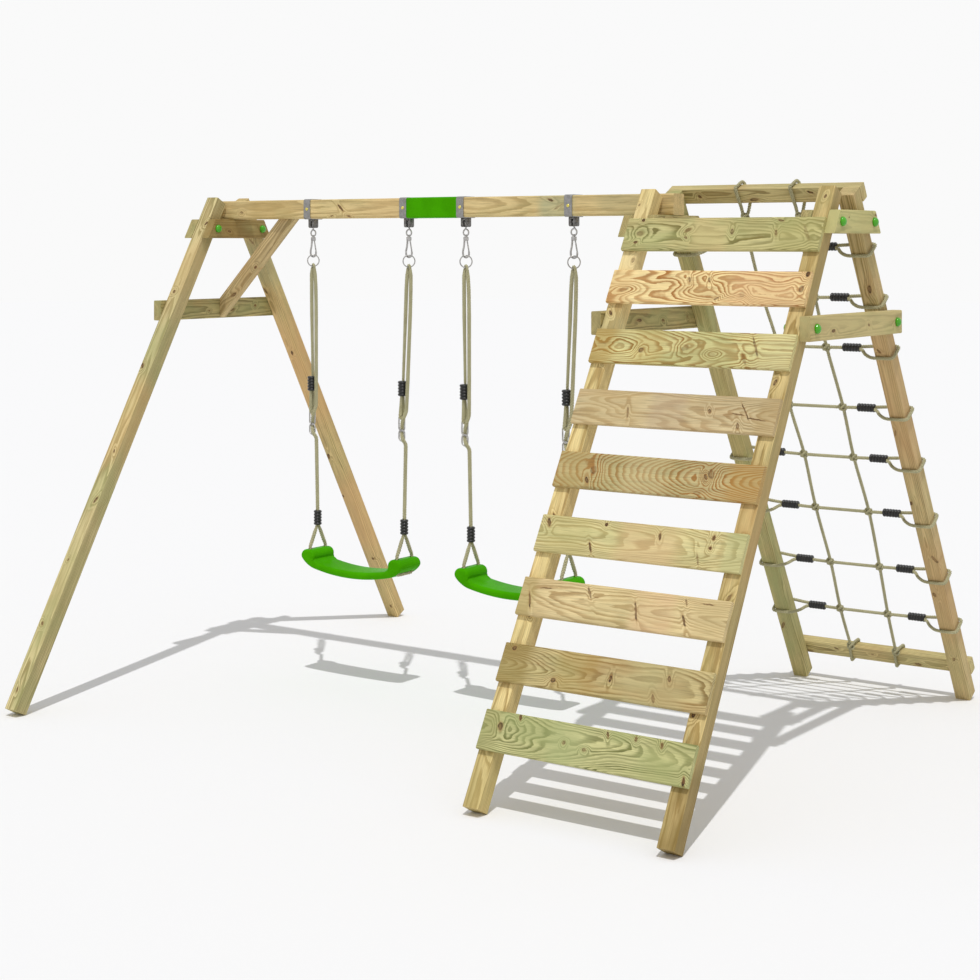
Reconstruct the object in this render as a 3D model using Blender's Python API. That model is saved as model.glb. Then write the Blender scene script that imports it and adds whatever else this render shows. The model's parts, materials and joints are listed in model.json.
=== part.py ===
"""Wooden A-frame swing set: two seats on ropes, a plank climbing side and a rope net side.

Metres, +Z up. The origin is on the ground, midway between the outer frames and under the
swing beam. +X runs along the beam to the climbing end, +Y to the net side.
"""

import math

import bmesh
import bpy
from mathutils import Matrix, Vector

# Clearance between pieces that touch
FIT_GAP = 0.0003

# Legs, in three leaning pairs
LEG_SECTION = 0.070
LEG_LENGTH = 2.574
LEG_LEAN = math.radians(29.3)
TIMBER_ROUND = 0.005
SWING_BAY = 2.389
LADDER_BAY = 0.732

# Swing beam, held between the leg tops
BEAM_SECTION = 0.090
BEAM_ROUND = 0.008
BEAM_RISE = 0.017

# Crossbars on the leg pairs
CROSSBAR_THICKNESS = 0.045
UPPER_CROSSBAR_HEIGHT = 0.091
END_CROSSBAR_RISE = 0.013
LOWER_CROSSBAR_HEIGHT = 0.095
LOWER_CROSSBAR_DROP = 0.3897
LOWER_CROSSBAR_OVERHANG = 0.010

# Diagonal brace under the beam
BRACE_WIDTH = 0.070
BRACE_THICKNESS = 0.045
BRACE_FOOT_RISE = 0.003
BRACE_SLOPE = math.radians(45.0)

# Bolts with domed caps
BOLT_RADIUS = 0.005
CAP_RADIUS = 0.0185
CAP_RIM = 0.004
CAP_HEIGHT = 0.018
CAP_ANGLES = (12, 50, 90)
ROUND_STEPS = 8

# Faces closer in direction than this are shaded as one smooth surface
SMOOTH_ANGLE = math.radians(40.0)

# Points closer than this are one point
MERGE_DISTANCE = 1e-7

# Sides and bends of the small round parts
FINE_STEPS = 8
BEND_STEPS = 6
TURN_STEPS = 4
CORNER_STEPS = 3
RING_STEPS = 12
EMBED = 0.002
AXIS_X = (1.0, 0.0, 0.0)
AXIS_Y = (0.0, 1.0, 0.0)
AXIS_Z = (0.0, 0.0, 1.0)

# Climbing boards on the front legs: share of the run that each one lies down it
BOARD_WIDTH = 0.148
BOARD_THICKNESS = 0.020
FIRST_BOARD_DROP = 0.149
LAST_BOARD_CLEAR = 0.207
BOARD_SPREAD = (0.0, 0.116, 0.245, 0.373, 0.502, 0.630, 0.752, 0.877, 1.0)

# Net rails behind the rear legs
RAIL_WIDTH = 0.068
RAIL_THICKNESS = 0.045
BOTTOM_RAIL_CLEAR = 0.092

# Swings and their hangers
FIRST_HANGER = 0.515
HANGER_SPREAD = 0.575
SWING_PITCH = 0.898
STRAP_WIDTH = 0.040
STRAP_THICKNESS = 0.003
BLOCK_WIDTH = 0.037
BLOCK_DEPTH = 0.030
BLOCK_HEIGHT = 0.042
BLOCK_ROUND = 0.009
PIVOT_DROP = 0.0235
PIN_RADIUS = 0.004
HOOK_WIRE = 0.003
SLOT_WIDTH = 0.0075
WRAP_THICKNESS = 0.002

# Snap hooks: eye, swivel and body, measured down from the pivot
EYE_DROP = 0.045
EYE_RADIUS = 0.0125
EYE_START = 50.0
EYE_END = -215.0
LINK_STEP = 0.004
SWIVEL_TOP = 0.054
SWIVEL_RADIUS = 0.0065
HEAD_TOP = 0.064
HEAD_BOTTOM = 0.082
HEAD_WIDTH = 0.021
HEAD_DEPTH = 0.011
HEAD_ROUND = 0.003
BODY_WIRE = 0.004
BODY_HALF_TOP = 0.0060
BODY_HALF_BOTTOM = 0.0165
BODY_BOTTOM = 0.157
BODY_STRAIGHT = 0.012
NOSE_DROP = 0.132
GATE_BAR_RADIUS = 0.0026
GATE_EYE_RADIUS = 0.0042
GATE_PIN_RADIUS = 0.0018
GATE_PIVOT_X = 0.0055
GATE_PIVOT_DROP = 0.0765
GATE_THICKNESS = 0.0052

# Rings between the hooks and the ropes
RING_RADIUS = 0.0272
RING_WIRE = 0.0028
RING_TURN = math.radians(42.0)

# Swing ropes, measured down from the pivot
ROPE_RADIUS = 0.0078
ROPE_NIP = 0.0062
ROPE_SQUEEZE = 0.0070
ROPE_TURN = math.radians(-28.0)
NECK_LENGTH = 0.040
UPPER_SLEEVE_TOP = 0.726
LOWER_SLEEVE_RISE = 0.290
SLEEVE_LENGTH = 0.070
SLEEVE_RADIUS = 0.0175
SLEEVE_GROOVE = 0.0022
SLEEVE_RIBS = 4
SLEEVE_OFFSET = 0.024
SLEEVE_STAGGER = 0.002
TAIL_IN_SLEEVE = 0.042
LOAD_SHIFT = 0.005
ADJUSTER_WAIST = 0.955
ADJUSTER_UPPER_LOOP = 0.071
ADJUSTER_LOWER_LOOP = 0.048
ADJUSTER_HALF_WIDTH = 0.0165
ADJUSTER_WIRE = 0.003
WEAVE_LEAD = 0.020

# Where the load strand passes the adjuster: below its waist, across it, front or back
WEAVE = ((0.041, 1.0, -1), (0.024, 0.1, 0), (0.0, -0.45, 1), (-0.027, 0.1, 0),
         (-0.055, 1.0, -1))

# Seats: a curved pan with a raised roll at each end
SEAT_DROP = 1.652
SEAT_HALF_LENGTH = 0.300
SEAT_DEPTH = 0.160
SEAT_EDGE = 0.034
SEAT_ROUND = 0.010
SEAT_CURVE = 1.02
SEAT_ROLL_RISE = 0.112
SEAT_ROLL_RADIUS = 0.030
SEAT_INNER_ROLL_X = 0.250
SEAT_FOOT_X = 0.254
SEAT_TOE_X = 0.281
SEAT_TOE_RISE = 0.065
SEAT_CURVE_STEPS = 6

# Angles of the points on a seat's two end rolls, from the outer toe over to the crease
OUTER_ROLL_ANGLES = (-15, 8, 32, 60, 90)
INNER_ROLL_ANGLES = (96, 122, 148, 176, 205)

# Rope holes in a seat and the trough under each end
SEAT_HOLE_X = 0.260
SEAT_HOLE_Y = 0.055
ROPE_TROUGH_RISE = 0.051
ROPE_TROUGH_WIDTH = 0.044
ROPE_BEND = 0.0115
ROPE_LEAD = 0.008

# Climbing net behind the ladder bay
NET_ROPE = 0.006
NET_SLEEVE_LENGTH = 0.080
NET_SLEEVE_RADIUS = 0.0160
NET_SLEEVE_GROOVE = 0.0018
NET_SLEEVE_RIBS = 2
NET_SLEEVE_REACH = 0.083
NET_PLANE = -0.012
NET_KNOT = 0.0115
NET_KNOT_DEPTH = 0.0184
FIRST_ROW_DROP = 0.265
LAST_ROW_CLEAR = 0.400
ROW_SPREAD = (0.0, 0.126, 0.254, 0.412, 0.549, 0.700, 0.859, 1.0)
NET_STRANDS = (-0.122, 0.122)
TIE_APEX = 0.060
TIE_DRIFT = 0.010
TIE_CORNER = 0.006
LOOP_SLACK = 0.014
LOOP_SAG = 0.006
LOOP_BEND = 0.016

# Points that follow from the sizes above
LEAN_SIN = math.sin(LEG_LEAN)
LEAN_COS = math.cos(LEG_LEAN)
TOTAL_LENGTH = 3 * LEG_SECTION + SWING_BAY + LADDER_BAY
LEFT_LEG = -TOTAL_LENGTH / 2
MIDDLE_LEG = LEFT_LEG + LEG_SECTION + SWING_BAY
RIGHT_LEG = MIDDLE_LEG + LEG_SECTION + LADDER_BAY
INNER_TOP = LEG_LENGTH * LEAN_COS
BEAM_TOP = INNER_TOP + BEAM_RISE
BEAM_UNDERSIDE = BEAM_TOP - BEAM_SECTION
LOWER_CROSSBAR_TOP = BEAM_UNDERSIDE - LOWER_CROSSBAR_DROP
ARC_Y = BEAM_SECTION / 2 - BEAM_ROUND
ARC_Z = BEAM_TOP - BEAM_ROUND
INNER_TOP_Y = ARC_Y + (BEAM_ROUND + FIT_GAP - (INNER_TOP - ARC_Z) * LEAN_SIN) / LEAN_COS
OUTER_TOP_Y = INNER_TOP_Y + LEG_SECTION * LEAN_COS
OUTER_TOP_Z = INNER_TOP + LEG_SECTION * LEAN_SIN
PIVOT_HEIGHT = BEAM_UNDERSIDE - PIVOT_DROP
LOWER_SLEEVE_TOP = SEAT_DROP - LOWER_SLEEVE_RISE
ADJUSTER_TOP = ADJUSTER_WAIST - ADJUSTER_UPPER_LOOP
ADJUSTER_BOTTOM = ADJUSTER_WAIST + ADJUSTER_LOWER_LOOP
FIRST_HANGER_X = LEFT_LEG + LEG_SECTION + FIRST_HANGER
SWING_CENTRES = (FIRST_HANGER_X + HANGER_SPREAD / 2,
                 FIRST_HANGER_X + HANGER_SPREAD / 2 + SWING_PITCH)


def outer_y(height):
    """Distance of the rear legs' outer face from the beam's centre plane at a height."""
    return OUTER_TOP_Y + (OUTER_TOP_Z - height) * LEAN_SIN / LEAN_COS


def leg_centre_y(height):
    """Distance of the rear legs' centre line from the beam's centre plane at a height."""
    return outer_y(height) - LEG_SECTION / 2 / LEAN_COS


def slope_point(side, x, down, out):
    """A point beside the legs: down from the top cut, and out from the outer face."""
    y = OUTER_TOP_Y + down * LEAN_SIN + out * LEAN_COS
    z = OUTER_TOP_Z - down * LEAN_COS + out * LEAN_SIN
    return Vector((x, side * y, z))


def clear_scene():
    for scene_object in list(bpy.data.objects):
        bpy.data.objects.remove(scene_object, do_unlink=True)


def linear(channel):
    """One sRGB channel as linear light."""
    if channel <= 0.04045:
        return channel / 12.92
    return ((channel + 0.055) / 1.055) ** 2.4


def finish(name, colour, roughness, metallic=0.0):
    """A plain surface of one colour, given as a hexadecimal sRGB value."""
    material = bpy.data.materials.new(name)
    material.use_nodes = True
    shader = material.node_tree.nodes["Principled BSDF"]
    channels = [int(colour[i:i + 2], 16) / 255 for i in (0, 2, 4)]
    rgb = [linear(channel) for channel in channels]
    shader.inputs["Base Color"].default_value = (*rgb, 1.0)
    shader.inputs["Roughness"].default_value = roughness
    shader.inputs["Metallic"].default_value = metallic
    material.diffuse_color = (*rgb, 1.0)
    return material


def face_outward(bm):
    """Turns the faces of a closed shape outwards."""
    bmesh.ops.recalc_face_normals(bm, faces=bm.faces)
    if bm.calc_volume(signed=True) < 0.0:
        bmesh.ops.reverse_faces(bm, faces=bm.faces)


def place(name, bm, material, location=(0.0, 0.0, 0.0), rotation=(0.0, 0.0, 0.0), parent=None,
          smooth=False):
    """Turns a bmesh into a named object at its place."""
    face_outward(bm)
    mesh = bpy.data.meshes.new(name)
    bm.to_mesh(mesh)
    bm.free()
    if smooth:
        mesh.shade_smooth()
        mesh.set_sharp_from_angle(angle=SMOOTH_ANGLE)
    part = bpy.data.objects.new(name, mesh)
    bpy.context.scene.collection.objects.link(part)
    part.location = location
    part.rotation_euler = rotation
    part.parent = parent
    if material:
        mesh.materials.append(material)
    return part


def prism(outline, depth):
    """Extrudes an outline of (x, z) points along Y, centred on Y = 0."""
    bm = bmesh.new()
    face = bm.faces.new([bm.verts.new((x, -depth / 2, z)) for x, z in outline])
    grown = bmesh.ops.extrude_face_region(bm, geom=[face])
    moved = [item for item in grown["geom"] if isinstance(item, bmesh.types.BMVert)]
    bmesh.ops.translate(bm, verts=moved, vec=(0.0, depth, 0.0))
    return bm


def round_edges(bm, radius, segments, chosen):
    """Rounds the edges that the test picks."""
    edges = [edge for edge in bm.edges if chosen(edge)]
    bmesh.ops.bevel(bm, geom=edges, offset=radius, offset_type="OFFSET", segments=segments,
                    profile=0.5, affect="EDGES", clamp_overlap=True, material=-1)


def along(axis):
    """A test for edges that run along one axis."""
    def test(edge):
        step = edge.verts[1].co - edge.verts[0].co
        return abs(step[axis]) > 0.999 * step.length
    return test


def block(size, radius=0.0, segments=2, chosen=None):
    """A box centred on its origin, with rounded edges where asked."""
    bm = bmesh.new()
    bmesh.ops.create_cube(bm, size=1.0)
    bmesh.ops.scale(bm, vec=size, verts=bm.verts)
    if radius:
        round_edges(bm, radius, segments, chosen or (lambda edge: True))
    return bm


def lathe(profile, steps):
    """Turns a profile of (radius, height) about Z and closes both ends."""
    bm = bmesh.new()
    verts = [bm.verts.new((radius, 0.0, height)) for radius, height in profile]
    edges = [bm.edges.new(pair) for pair in zip(verts, verts[1:])]
    bmesh.ops.spin(bm, geom=verts + edges, cent=(0.0, 0.0, 0.0), axis=(0.0, 0.0, 1.0),
                   dvec=(0.0, 0.0, 0.0), angle=2 * math.pi, steps=steps, use_merge=True)
    bmesh.ops.remove_doubles(bm, verts=bm.verts, dist=MERGE_DISTANCE)
    rims = [edge for edge in bm.edges if edge.is_boundary]
    bmesh.ops.edgeloop_fill(bm, edges=rims)
    return bm


def rod(radius, start, end, steps=ROUND_STEPS):
    """A straight round bar between two points."""
    run = Vector(end) - Vector(start)
    bm = lathe([(radius, 0.0), (radius, run.length)], steps)
    turn = run.to_track_quat("Z", "Y").to_matrix().to_4x4()
    bm.transform(Matrix.Translation(start) @ turn)
    return bm


def tube(points, radius, closed=False, radii=None):
    """A round cord or wire through the points, as a closed surface."""
    curve = bpy.data.curves.new("tube", "CURVE")
    curve.dimensions = "3D"
    curve.bevel_depth = radius
    curve.bevel_resolution = 1
    curve.use_fill_caps = True
    spline = curve.splines.new("POLY")
    spline.points.add(len(points) - 1)
    spline.use_cyclic_u = closed
    for index, point in enumerate(points):
        spline.points[index].co = (*point, 1.0)
        if radii:
            spline.points[index].radius = radii[index] / radius
    guide = bpy.data.objects.new("tube", curve)
    bpy.context.scene.collection.objects.link(guide)
    shape = guide.evaluated_get(bpy.context.evaluated_depsgraph_get())
    mesh = bpy.data.meshes.new_from_object(shape)
    bm = bmesh.new()
    bm.from_mesh(mesh)
    bmesh.ops.remove_doubles(bm, verts=bm.verts, dist=MERGE_DISTANCE)
    bpy.data.objects.remove(guide, do_unlink=True)
    bpy.data.meshes.remove(mesh)
    bpy.data.curves.remove(curve)
    return bm


def combine(part, pieces, operation):
    """Joins closed pieces to a part, or cuts them from it, and leaves one plain mesh."""
    tools = bpy.data.collections.new("tools")
    for piece in pieces:
        face_outward(piece)
        mesh = bpy.data.meshes.new("tool")
        piece.to_mesh(mesh)
        piece.free()
        tools.objects.link(bpy.data.objects.new("tool", mesh))
    bpy.context.scene.collection.children.link(tools)
    modifier = part.modifiers.new(operation, "BOOLEAN")
    modifier.operation = operation
    modifier.operand_type = "COLLECTION"
    modifier.collection = tools
    modifier.solver = "EXACT"
    shape = part.evaluated_get(bpy.context.evaluated_depsgraph_get())
    merged = bpy.data.meshes.new_from_object(shape)
    part.modifiers.clear()
    plain = part.data
    part.data = merged
    merged.name = part.name
    bpy.data.meshes.remove(plain)
    for tool in list(tools.objects):
        shape = tool.data
        bpy.data.objects.remove(tool, do_unlink=True)
        bpy.data.meshes.remove(shape)
    bpy.data.collections.remove(tools)


def moved(bm, location):
    """Shifts a bmesh and hands it back."""
    bmesh.ops.translate(bm, verts=bm.verts, vec=location)
    return bm


def round_clear(radius, steps):
    """Corner radius of a many-sided ring whose flats lie just at a round radius."""
    return radius / math.cos(math.pi / steps)


def arc(centre, radius, start, end, steps, across, up):
    """Points on a round arc in the plane of two directions; angles in degrees."""
    points = []
    for step in range(steps + 1):
        angle = math.radians(start + (end - start) * step / steps)
        points.append(Vector(centre) + Vector(across) * radius * math.cos(angle)
                      + Vector(up) * radius * math.sin(angle))
    return points


def circle(radius, steps, across, up):
    """Points evenly round a circle about the origin."""
    return arc((0.0, 0.0, 0.0), radius, 0.0, 360.0, steps, across, up)[:-1]


def ribbed(length, radius, groove, ribs, steps):
    """A crimped sleeve about Z, with a groove between each rib and the next."""
    pitch = length / ribs
    profile = [(radius - groove, 0.0)]
    for rib in range(ribs):
        profile.append((radius, (rib + 0.5) * pitch))
        profile.append((radius - groove, (rib + 1) * pitch))
    return lathe(profile, steps)


def bolt_cutter(x, y, z, reach):
    """The clearance hole of a bolt along X."""
    radius = BOLT_RADIUS + FIT_GAP
    return rod(radius, (x - reach, y, z), (x + reach, y, z))


def upper_bolt_height(rise):
    """Height of the bolts in the upper crossbars."""
    return BEAM_UNDERSIDE + rise - UPPER_CROSSBAR_HEIGHT / 2


def frame_rise(frame):
    """How far a frame's upper crossbars stand above the beam's underside."""
    return END_CROSSBAR_RISE if frame == "right" else -FIT_GAP


def bolt_places(frame):
    """The (y, z) places of the bolts through a frame's legs."""
    upper = upper_bolt_height(frame_rise(frame))
    places = [(side * leg_centre_y(upper), upper) for side in (-1, 1)]
    if frame == "right":
        lower = LOWER_CROSSBAR_TOP - LOWER_CROSSBAR_HEIGHT / 2
        places += [(side * leg_centre_y(lower), lower) for side in (-1, 1)]
    return places


def make_legs(frames, material):
    for frame, left_face in frames.items():
        centre_x = left_face + LEG_SECTION / 2
        for label, side in (("front", -1), ("rear", 1)):
            bm = block((LEG_SECTION, LEG_SECTION, LEG_LENGTH), TIMBER_ROUND, 2, along(2))
            middle = slope_point(side, centre_x, LEG_LENGTH / 2, -LEG_SECTION / 2)
            leg = place(f"{frame}_{label}_leg", bm, material, middle,
                        (side * LEG_LEAN, 0.0, 0.0), smooth=True)
            bpy.context.view_layer.update()
            holes = []
            for y, z in bolt_places(frame):
                if y * side > 0:
                    hole = bolt_cutter(centre_x, y, z, LEG_SECTION)
                    hole.transform(leg.matrix_world.inverted())
                    holes.append(hole)
            cut_in_place(leg, holes)


def cut_in_place(part, holes):
    """Cuts holes that are given in the part's own frame."""
    keep = part.matrix_world.copy()
    part.matrix_world = Matrix.Identity(4)
    combine(part, holes, "DIFFERENCE")
    part.matrix_world = keep


def make_upper_crossbars(frames, material):
    for frame, left_face in frames.items():
        top = BEAM_UNDERSIDE + frame_rise(frame)
        bottom = top - UPPER_CROSSBAR_HEIGHT
        for label, x in (("left", left_face - FIT_GAP - CROSSBAR_THICKNESS / 2),
                         ("right", left_face + LEG_SECTION + FIT_GAP + CROSSBAR_THICKNESS / 2)):
            outline = [(-outer_y(bottom), bottom), (outer_y(bottom), bottom),
                       (outer_y(top), top), (-outer_y(top), top)]
            bm = prism(outline, CROSSBAR_THICKNESS)
            round_edges(bm, TIMBER_ROUND, 2, along(0))
            bm.transform(Matrix.Rotation(math.radians(90), 4, "Z"))
            moved(bm, (x, 0.0, 0.0))
            bar = place(f"{frame}_upper_crossbar_{label}", bm, material, smooth=True)
            holes = [bolt_cutter(x, y, z, CROSSBAR_THICKNESS)
                     for y, z in bolt_places(frame)[:2]]
            combine(bar, holes, "DIFFERENCE")


def lower_crossbar_x(frame, left_face):
    """Centre of a lower crossbar: outside the left frames' legs, beyond the right one's."""
    if frame == "right":
        return left_face + LEG_SECTION + FIT_GAP + CROSSBAR_THICKNESS / 2
    return left_face - FIT_GAP - CROSSBAR_THICKNESS / 2


def make_lower_crossbars(frames, material):
    middle = LOWER_CROSSBAR_TOP - LOWER_CROSSBAR_HEIGHT / 2
    length = 2 * (outer_y(middle) + LOWER_CROSSBAR_OVERHANG)
    for frame, left_face in frames.items():
        x = lower_crossbar_x(frame, left_face)
        bm = block((CROSSBAR_THICKNESS, length, LOWER_CROSSBAR_HEIGHT), TIMBER_ROUND, 2, along(1))
        moved(bm, (x, 0.0, middle))
        bar = place(f"{frame}_lower_crossbar", bm, material, smooth=True)
        holes = [bolt_cutter(x, y, z, CROSSBAR_THICKNESS) for y, z in bolt_places(frame)[2:]]
        if holes:
            combine(bar, holes, "DIFFERENCE")


def make_beam(material):
    start = LEFT_LEG - FIT_GAP - CROSSBAR_THICKNESS
    end = MIDDLE_LEG + LEG_SECTION + FIT_GAP + CROSSBAR_THICKNESS
    bm = block((end - start, BEAM_SECTION, BEAM_SECTION), BEAM_ROUND, 3, along(0))
    place("swing_beam", bm, material, ((start + end) / 2, 0.0, BEAM_TOP - BEAM_SECTION / 2),
          smooth=True)


def make_brace(material):
    """A diagonal in the beam's plane, cut plumb at its foot and level at its head."""
    foot = LEFT_LEG
    low = LOWER_CROSSBAR_TOP - LOWER_CROSSBAR_HEIGHT + BRACE_FOOT_RISE
    cut = BRACE_WIDTH / math.cos(BRACE_SLOPE)
    head = BEAM_UNDERSIDE - FIT_GAP
    slope = math.tan(BRACE_SLOPE)
    outline = [(foot, low), (foot + (head - low) / slope, head),
               (foot + (head - low - cut) / slope, head), (foot, low + cut)]
    bm = prism(outline, BRACE_THICKNESS)
    round_edges(bm, TIMBER_ROUND, 2,
                lambda edge: abs(edge.verts[0].co.x - edge.verts[1].co.x) > 2 * BRACE_WIDTH)
    place("diagonal_brace", bm, material, smooth=True)


def board_drop(share):
    """How far down the leg a board's upper edge lies."""
    last = LEG_LENGTH - LAST_BOARD_CLEAR - BOARD_WIDTH
    return FIRST_BOARD_DROP + share * (last - FIRST_BOARD_DROP)


def make_boards(material):
    start, end = MIDDLE_LEG, RIGHT_LEG + LEG_SECTION
    for index, share in enumerate(BOARD_SPREAD):
        down = board_drop(share) + BOARD_WIDTH / 2
        middle = slope_point(-1, (start + end) / 2, down, FIT_GAP + BOARD_THICKNESS / 2)
        bm = block((end - start, BOARD_THICKNESS, BOARD_WIDTH), TIMBER_ROUND, 2, along(0))
        place(f"climbing_board_{index + 1}", bm, material, middle, (-LEG_LEAN, 0.0, 0.0),
              smooth=True)


def make_rails(material):
    start, end = MIDDLE_LEG, RIGHT_LEG + LEG_SECTION
    bottom = LEG_LENGTH - BOTTOM_RAIL_CLEAR - RAIL_WIDTH / 2
    for name, down in (("net_top_rail", RAIL_WIDTH / 2), ("net_bottom_rail", bottom)):
        middle = slope_point(1, (start + end) / 2, down, FIT_GAP + RAIL_THICKNESS / 2)
        bm = block((end - start, RAIL_THICKNESS, RAIL_WIDTH), TIMBER_ROUND, 2, along(0))
        place(name, bm, material, middle, (LEG_LEAN, 0.0, 0.0), smooth=True)


def cap_profile(base, direction):
    """A domed cap from its tip to its seat, as (radius, place) on the bolt's axis."""
    dome = CAP_HEIGHT - CAP_RIM
    points = []
    for degrees in CAP_ANGLES:
        angle = math.radians(degrees)
        points.append((CAP_RADIUS * math.sin(angle),
                       base + direction * (CAP_RIM + dome * math.cos(angle))))
    points.append((CAP_RADIUS, base))
    return points


def make_bolt(name, left, right, y, z, material):
    """A bolt along X with a domed cap at each end, from face to face."""
    half = (right - left) / 2 + FIT_GAP
    profile = cap_profile(-half, -1) + [(BOLT_RADIUS, -half), (BOLT_RADIUS, half)]
    profile += list(reversed(cap_profile(half, 1)))
    bm = lathe(profile, ROUND_STEPS)
    bm.transform(Matrix.Rotation(math.radians(90), 4, "Y"))
    place(name, bm, material, ((left + right) / 2, y, z), smooth=True)


def make_bolts(frames, material):
    for frame, left_face in frames.items():
        for index, (y, z) in enumerate(bolt_places(frame)):
            level = "upper" if index < 2 else "lower"
            side = "front" if y < 0 else "rear"
            left = left_face - (CROSSBAR_THICKNESS + FIT_GAP if level == "upper" else 0.0)
            right = left_face + LEG_SECTION + FIT_GAP + CROSSBAR_THICKNESS
            make_bolt(f"{frame}_{level}_bolt_{side}", left, right, y, z, material)


def rounded_square(half, radius, segments):
    """Corner points of a rounded square, as (y, z) about its centre."""
    points = []
    for quarter in range(4):
        corner = math.radians(90 * quarter)
        centre = Vector((half - radius, half - radius))
        for step in range(segments + 1):
            angle = math.radians(90 * step / segments)
            spot = centre + Vector((math.cos(angle), math.sin(angle))) * radius
            points.append((spot.x * math.cos(corner) - spot.y * math.sin(corner),
                           spot.x * math.sin(corner) + spot.y * math.cos(corner)))
    return points


def beam_collar(width, thickness):
    """A closed band round the beam, centred on its own X = 0 and on the beam's axis."""
    bm = bmesh.new()
    half = BEAM_SECTION / 2 + FIT_GAP
    radius = BEAM_ROUND + FIT_GAP
    loops = []
    for extra, x in ((0.0, -width / 2), (0.0, width / 2), (thickness, width / 2),
                     (thickness, -width / 2)):
        outline = rounded_square(half + extra, radius + extra, CORNER_STEPS)
        loops.append([bm.verts.new((x, y, z)) for y, z in outline])
    for near, far in zip(loops, loops[1:] + loops[:1]):
        for index in range(len(near)):
            bm.faces.new((near[index - 1], near[index], far[index], far[index - 1]))
    return bm


def make_hanger(name, x, material):
    """A strap round the beam with a slotted bearing block and its pin under it."""
    axis_height = BEAM_TOP - BEAM_SECTION / 2
    strap = beam_collar(STRAP_WIDTH, STRAP_THICKNESS)
    hanger = place(name, strap, material, (x, 0.0, axis_height), smooth=True)
    top = BEAM_SECTION / 2 + FIT_GAP + STRAP_THICKNESS / 2
    bearing = block((BLOCK_WIDTH, BLOCK_DEPTH, BLOCK_HEIGHT), BLOCK_ROUND, 2,
                    lambda edge: along(0)(edge) and edge.verts[0].co.z < 0)
    moved(bearing, (0.0, 0.0, -top - BLOCK_HEIGHT / 2))
    keep = hanger.location.copy()
    hanger.location = (0.0, 0.0, 0.0)
    combine(hanger, [bearing], "UNION")
    pin_z = -BEAM_SECTION / 2 - PIVOT_DROP
    slot_top = pin_z + pin_eye_radius() + HOOK_WIRE + FIT_GAP
    slot_bottom = -top - BLOCK_HEIGHT - HOOK_WIRE
    slot = block((SLOT_WIDTH, 2 * BLOCK_DEPTH, slot_top - slot_bottom))
    moved(slot, (0.0, 0.0, (slot_top + slot_bottom) / 2))
    combine(hanger, [slot], "DIFFERENCE")
    reach = BLOCK_WIDTH / 2 - 2 * FIT_GAP
    combine(hanger, [rod(PIN_RADIUS, (-reach, 0.0, pin_z), (reach, 0.0, pin_z))], "UNION")
    hanger.location = keep


def make_beam_wrap(left, right, material):
    """A smooth plastic wrap that fills the beam between two straps."""
    width = right - left - STRAP_WIDTH - 2 * FIT_GAP
    wrap = beam_collar(width, WRAP_THICKNESS)
    place("beam_wrap", wrap, material,
          ((left + right) / 2, 0.0, BEAM_TOP - BEAM_SECTION / 2), smooth=True)


def pin_eye_radius():
    """Centre line of the wire eye that turns on a hanger's pin."""
    return round_clear(PIN_RADIUS + FIT_GAP + HOOK_WIRE, FINE_STEPS)


def hook_bend():
    """Centre line of a snap hook's lower bend, from its back to its nose."""
    return arc((0.0, 0.0, BODY_HALF_BOTTOM - BODY_BOTTOM), BODY_HALF_BOTTOM, 180.0, 360.0,
               BEND_STEPS, AXIS_X, AXIS_Z)


def make_snap_hook(name, location, parent, material):
    """A wire eye on the pin, an open link, a swivel and a snap hook, in the XZ plane."""
    pin_eye = pin_eye_radius()
    first = tube(circle(pin_eye, FINE_STEPS, AXIS_Y, AXIS_Z), HOOK_WIRE, closed=True)
    hook = place(name, first, material, smooth=True)
    link_top = EYE_RADIUS - EYE_DROP
    link = [Vector((0.0, 0.0, HOOK_WIRE / 4 - pin_eye)),
            Vector((0.0, 0.0, link_top + 2 * LINK_STEP)),
            Vector((LINK_STEP, 0.0, link_top + LINK_STEP))]
    link += arc((0.0, 0.0, -EYE_DROP), EYE_RADIUS, EYE_START, EYE_END, BEND_STEPS,
                AXIS_X, AXIS_Z)
    head = block((HEAD_WIDTH, HEAD_DEPTH, HEAD_BOTTOM - HEAD_TOP), HEAD_ROUND, 1, along(1))
    moved(head, (0.0, 0.0, -(HEAD_TOP + HEAD_BOTTOM) / 2))
    swivel = rod(SWIVEL_RADIUS, (0.0, 0.0, -HEAD_TOP - EMBED), (0.0, 0.0, -SWIVEL_TOP), FINE_STEPS)
    body = [Vector((-BODY_HALF_TOP, 0.0, 2 * EMBED - HEAD_BOTTOM)),
            Vector((-BODY_HALF_BOTTOM, 0.0, BODY_HALF_BOTTOM + BODY_STRAIGHT - BODY_BOTTOM))]
    body += hook_bend()
    body.append(Vector((BODY_HALF_BOTTOM, 0.0, -NOSE_DROP)))
    combine(hook, [tube(link, HOOK_WIRE), swivel, head, tube(body, BODY_WIRE)], "UNION")
    slot_left = GATE_PIVOT_X - GATE_EYE_RADIUS - FIT_GAP
    slot_top = GATE_EYE_RADIUS + FIT_GAP - GATE_PIVOT_DROP
    slot_bottom = -HEAD_BOTTOM - EMBED
    slot = block((HEAD_WIDTH, GATE_THICKNESS + 2 * FIT_GAP, slot_top - slot_bottom))
    moved(slot, (slot_left + HEAD_WIDTH / 2, 0.0, (slot_top + slot_bottom) / 2))
    combine(hook, [slot], "DIFFERENCE")
    half = HEAD_DEPTH / 2 - FIT_GAP
    pin = rod(GATE_PIN_RADIUS, (GATE_PIVOT_X, -half, -GATE_PIVOT_DROP),
              (GATE_PIVOT_X, half, -GATE_PIVOT_DROP), FINE_STEPS)
    combine(hook, [pin], "UNION")
    hook.location = location
    hook.parent = parent


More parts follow.
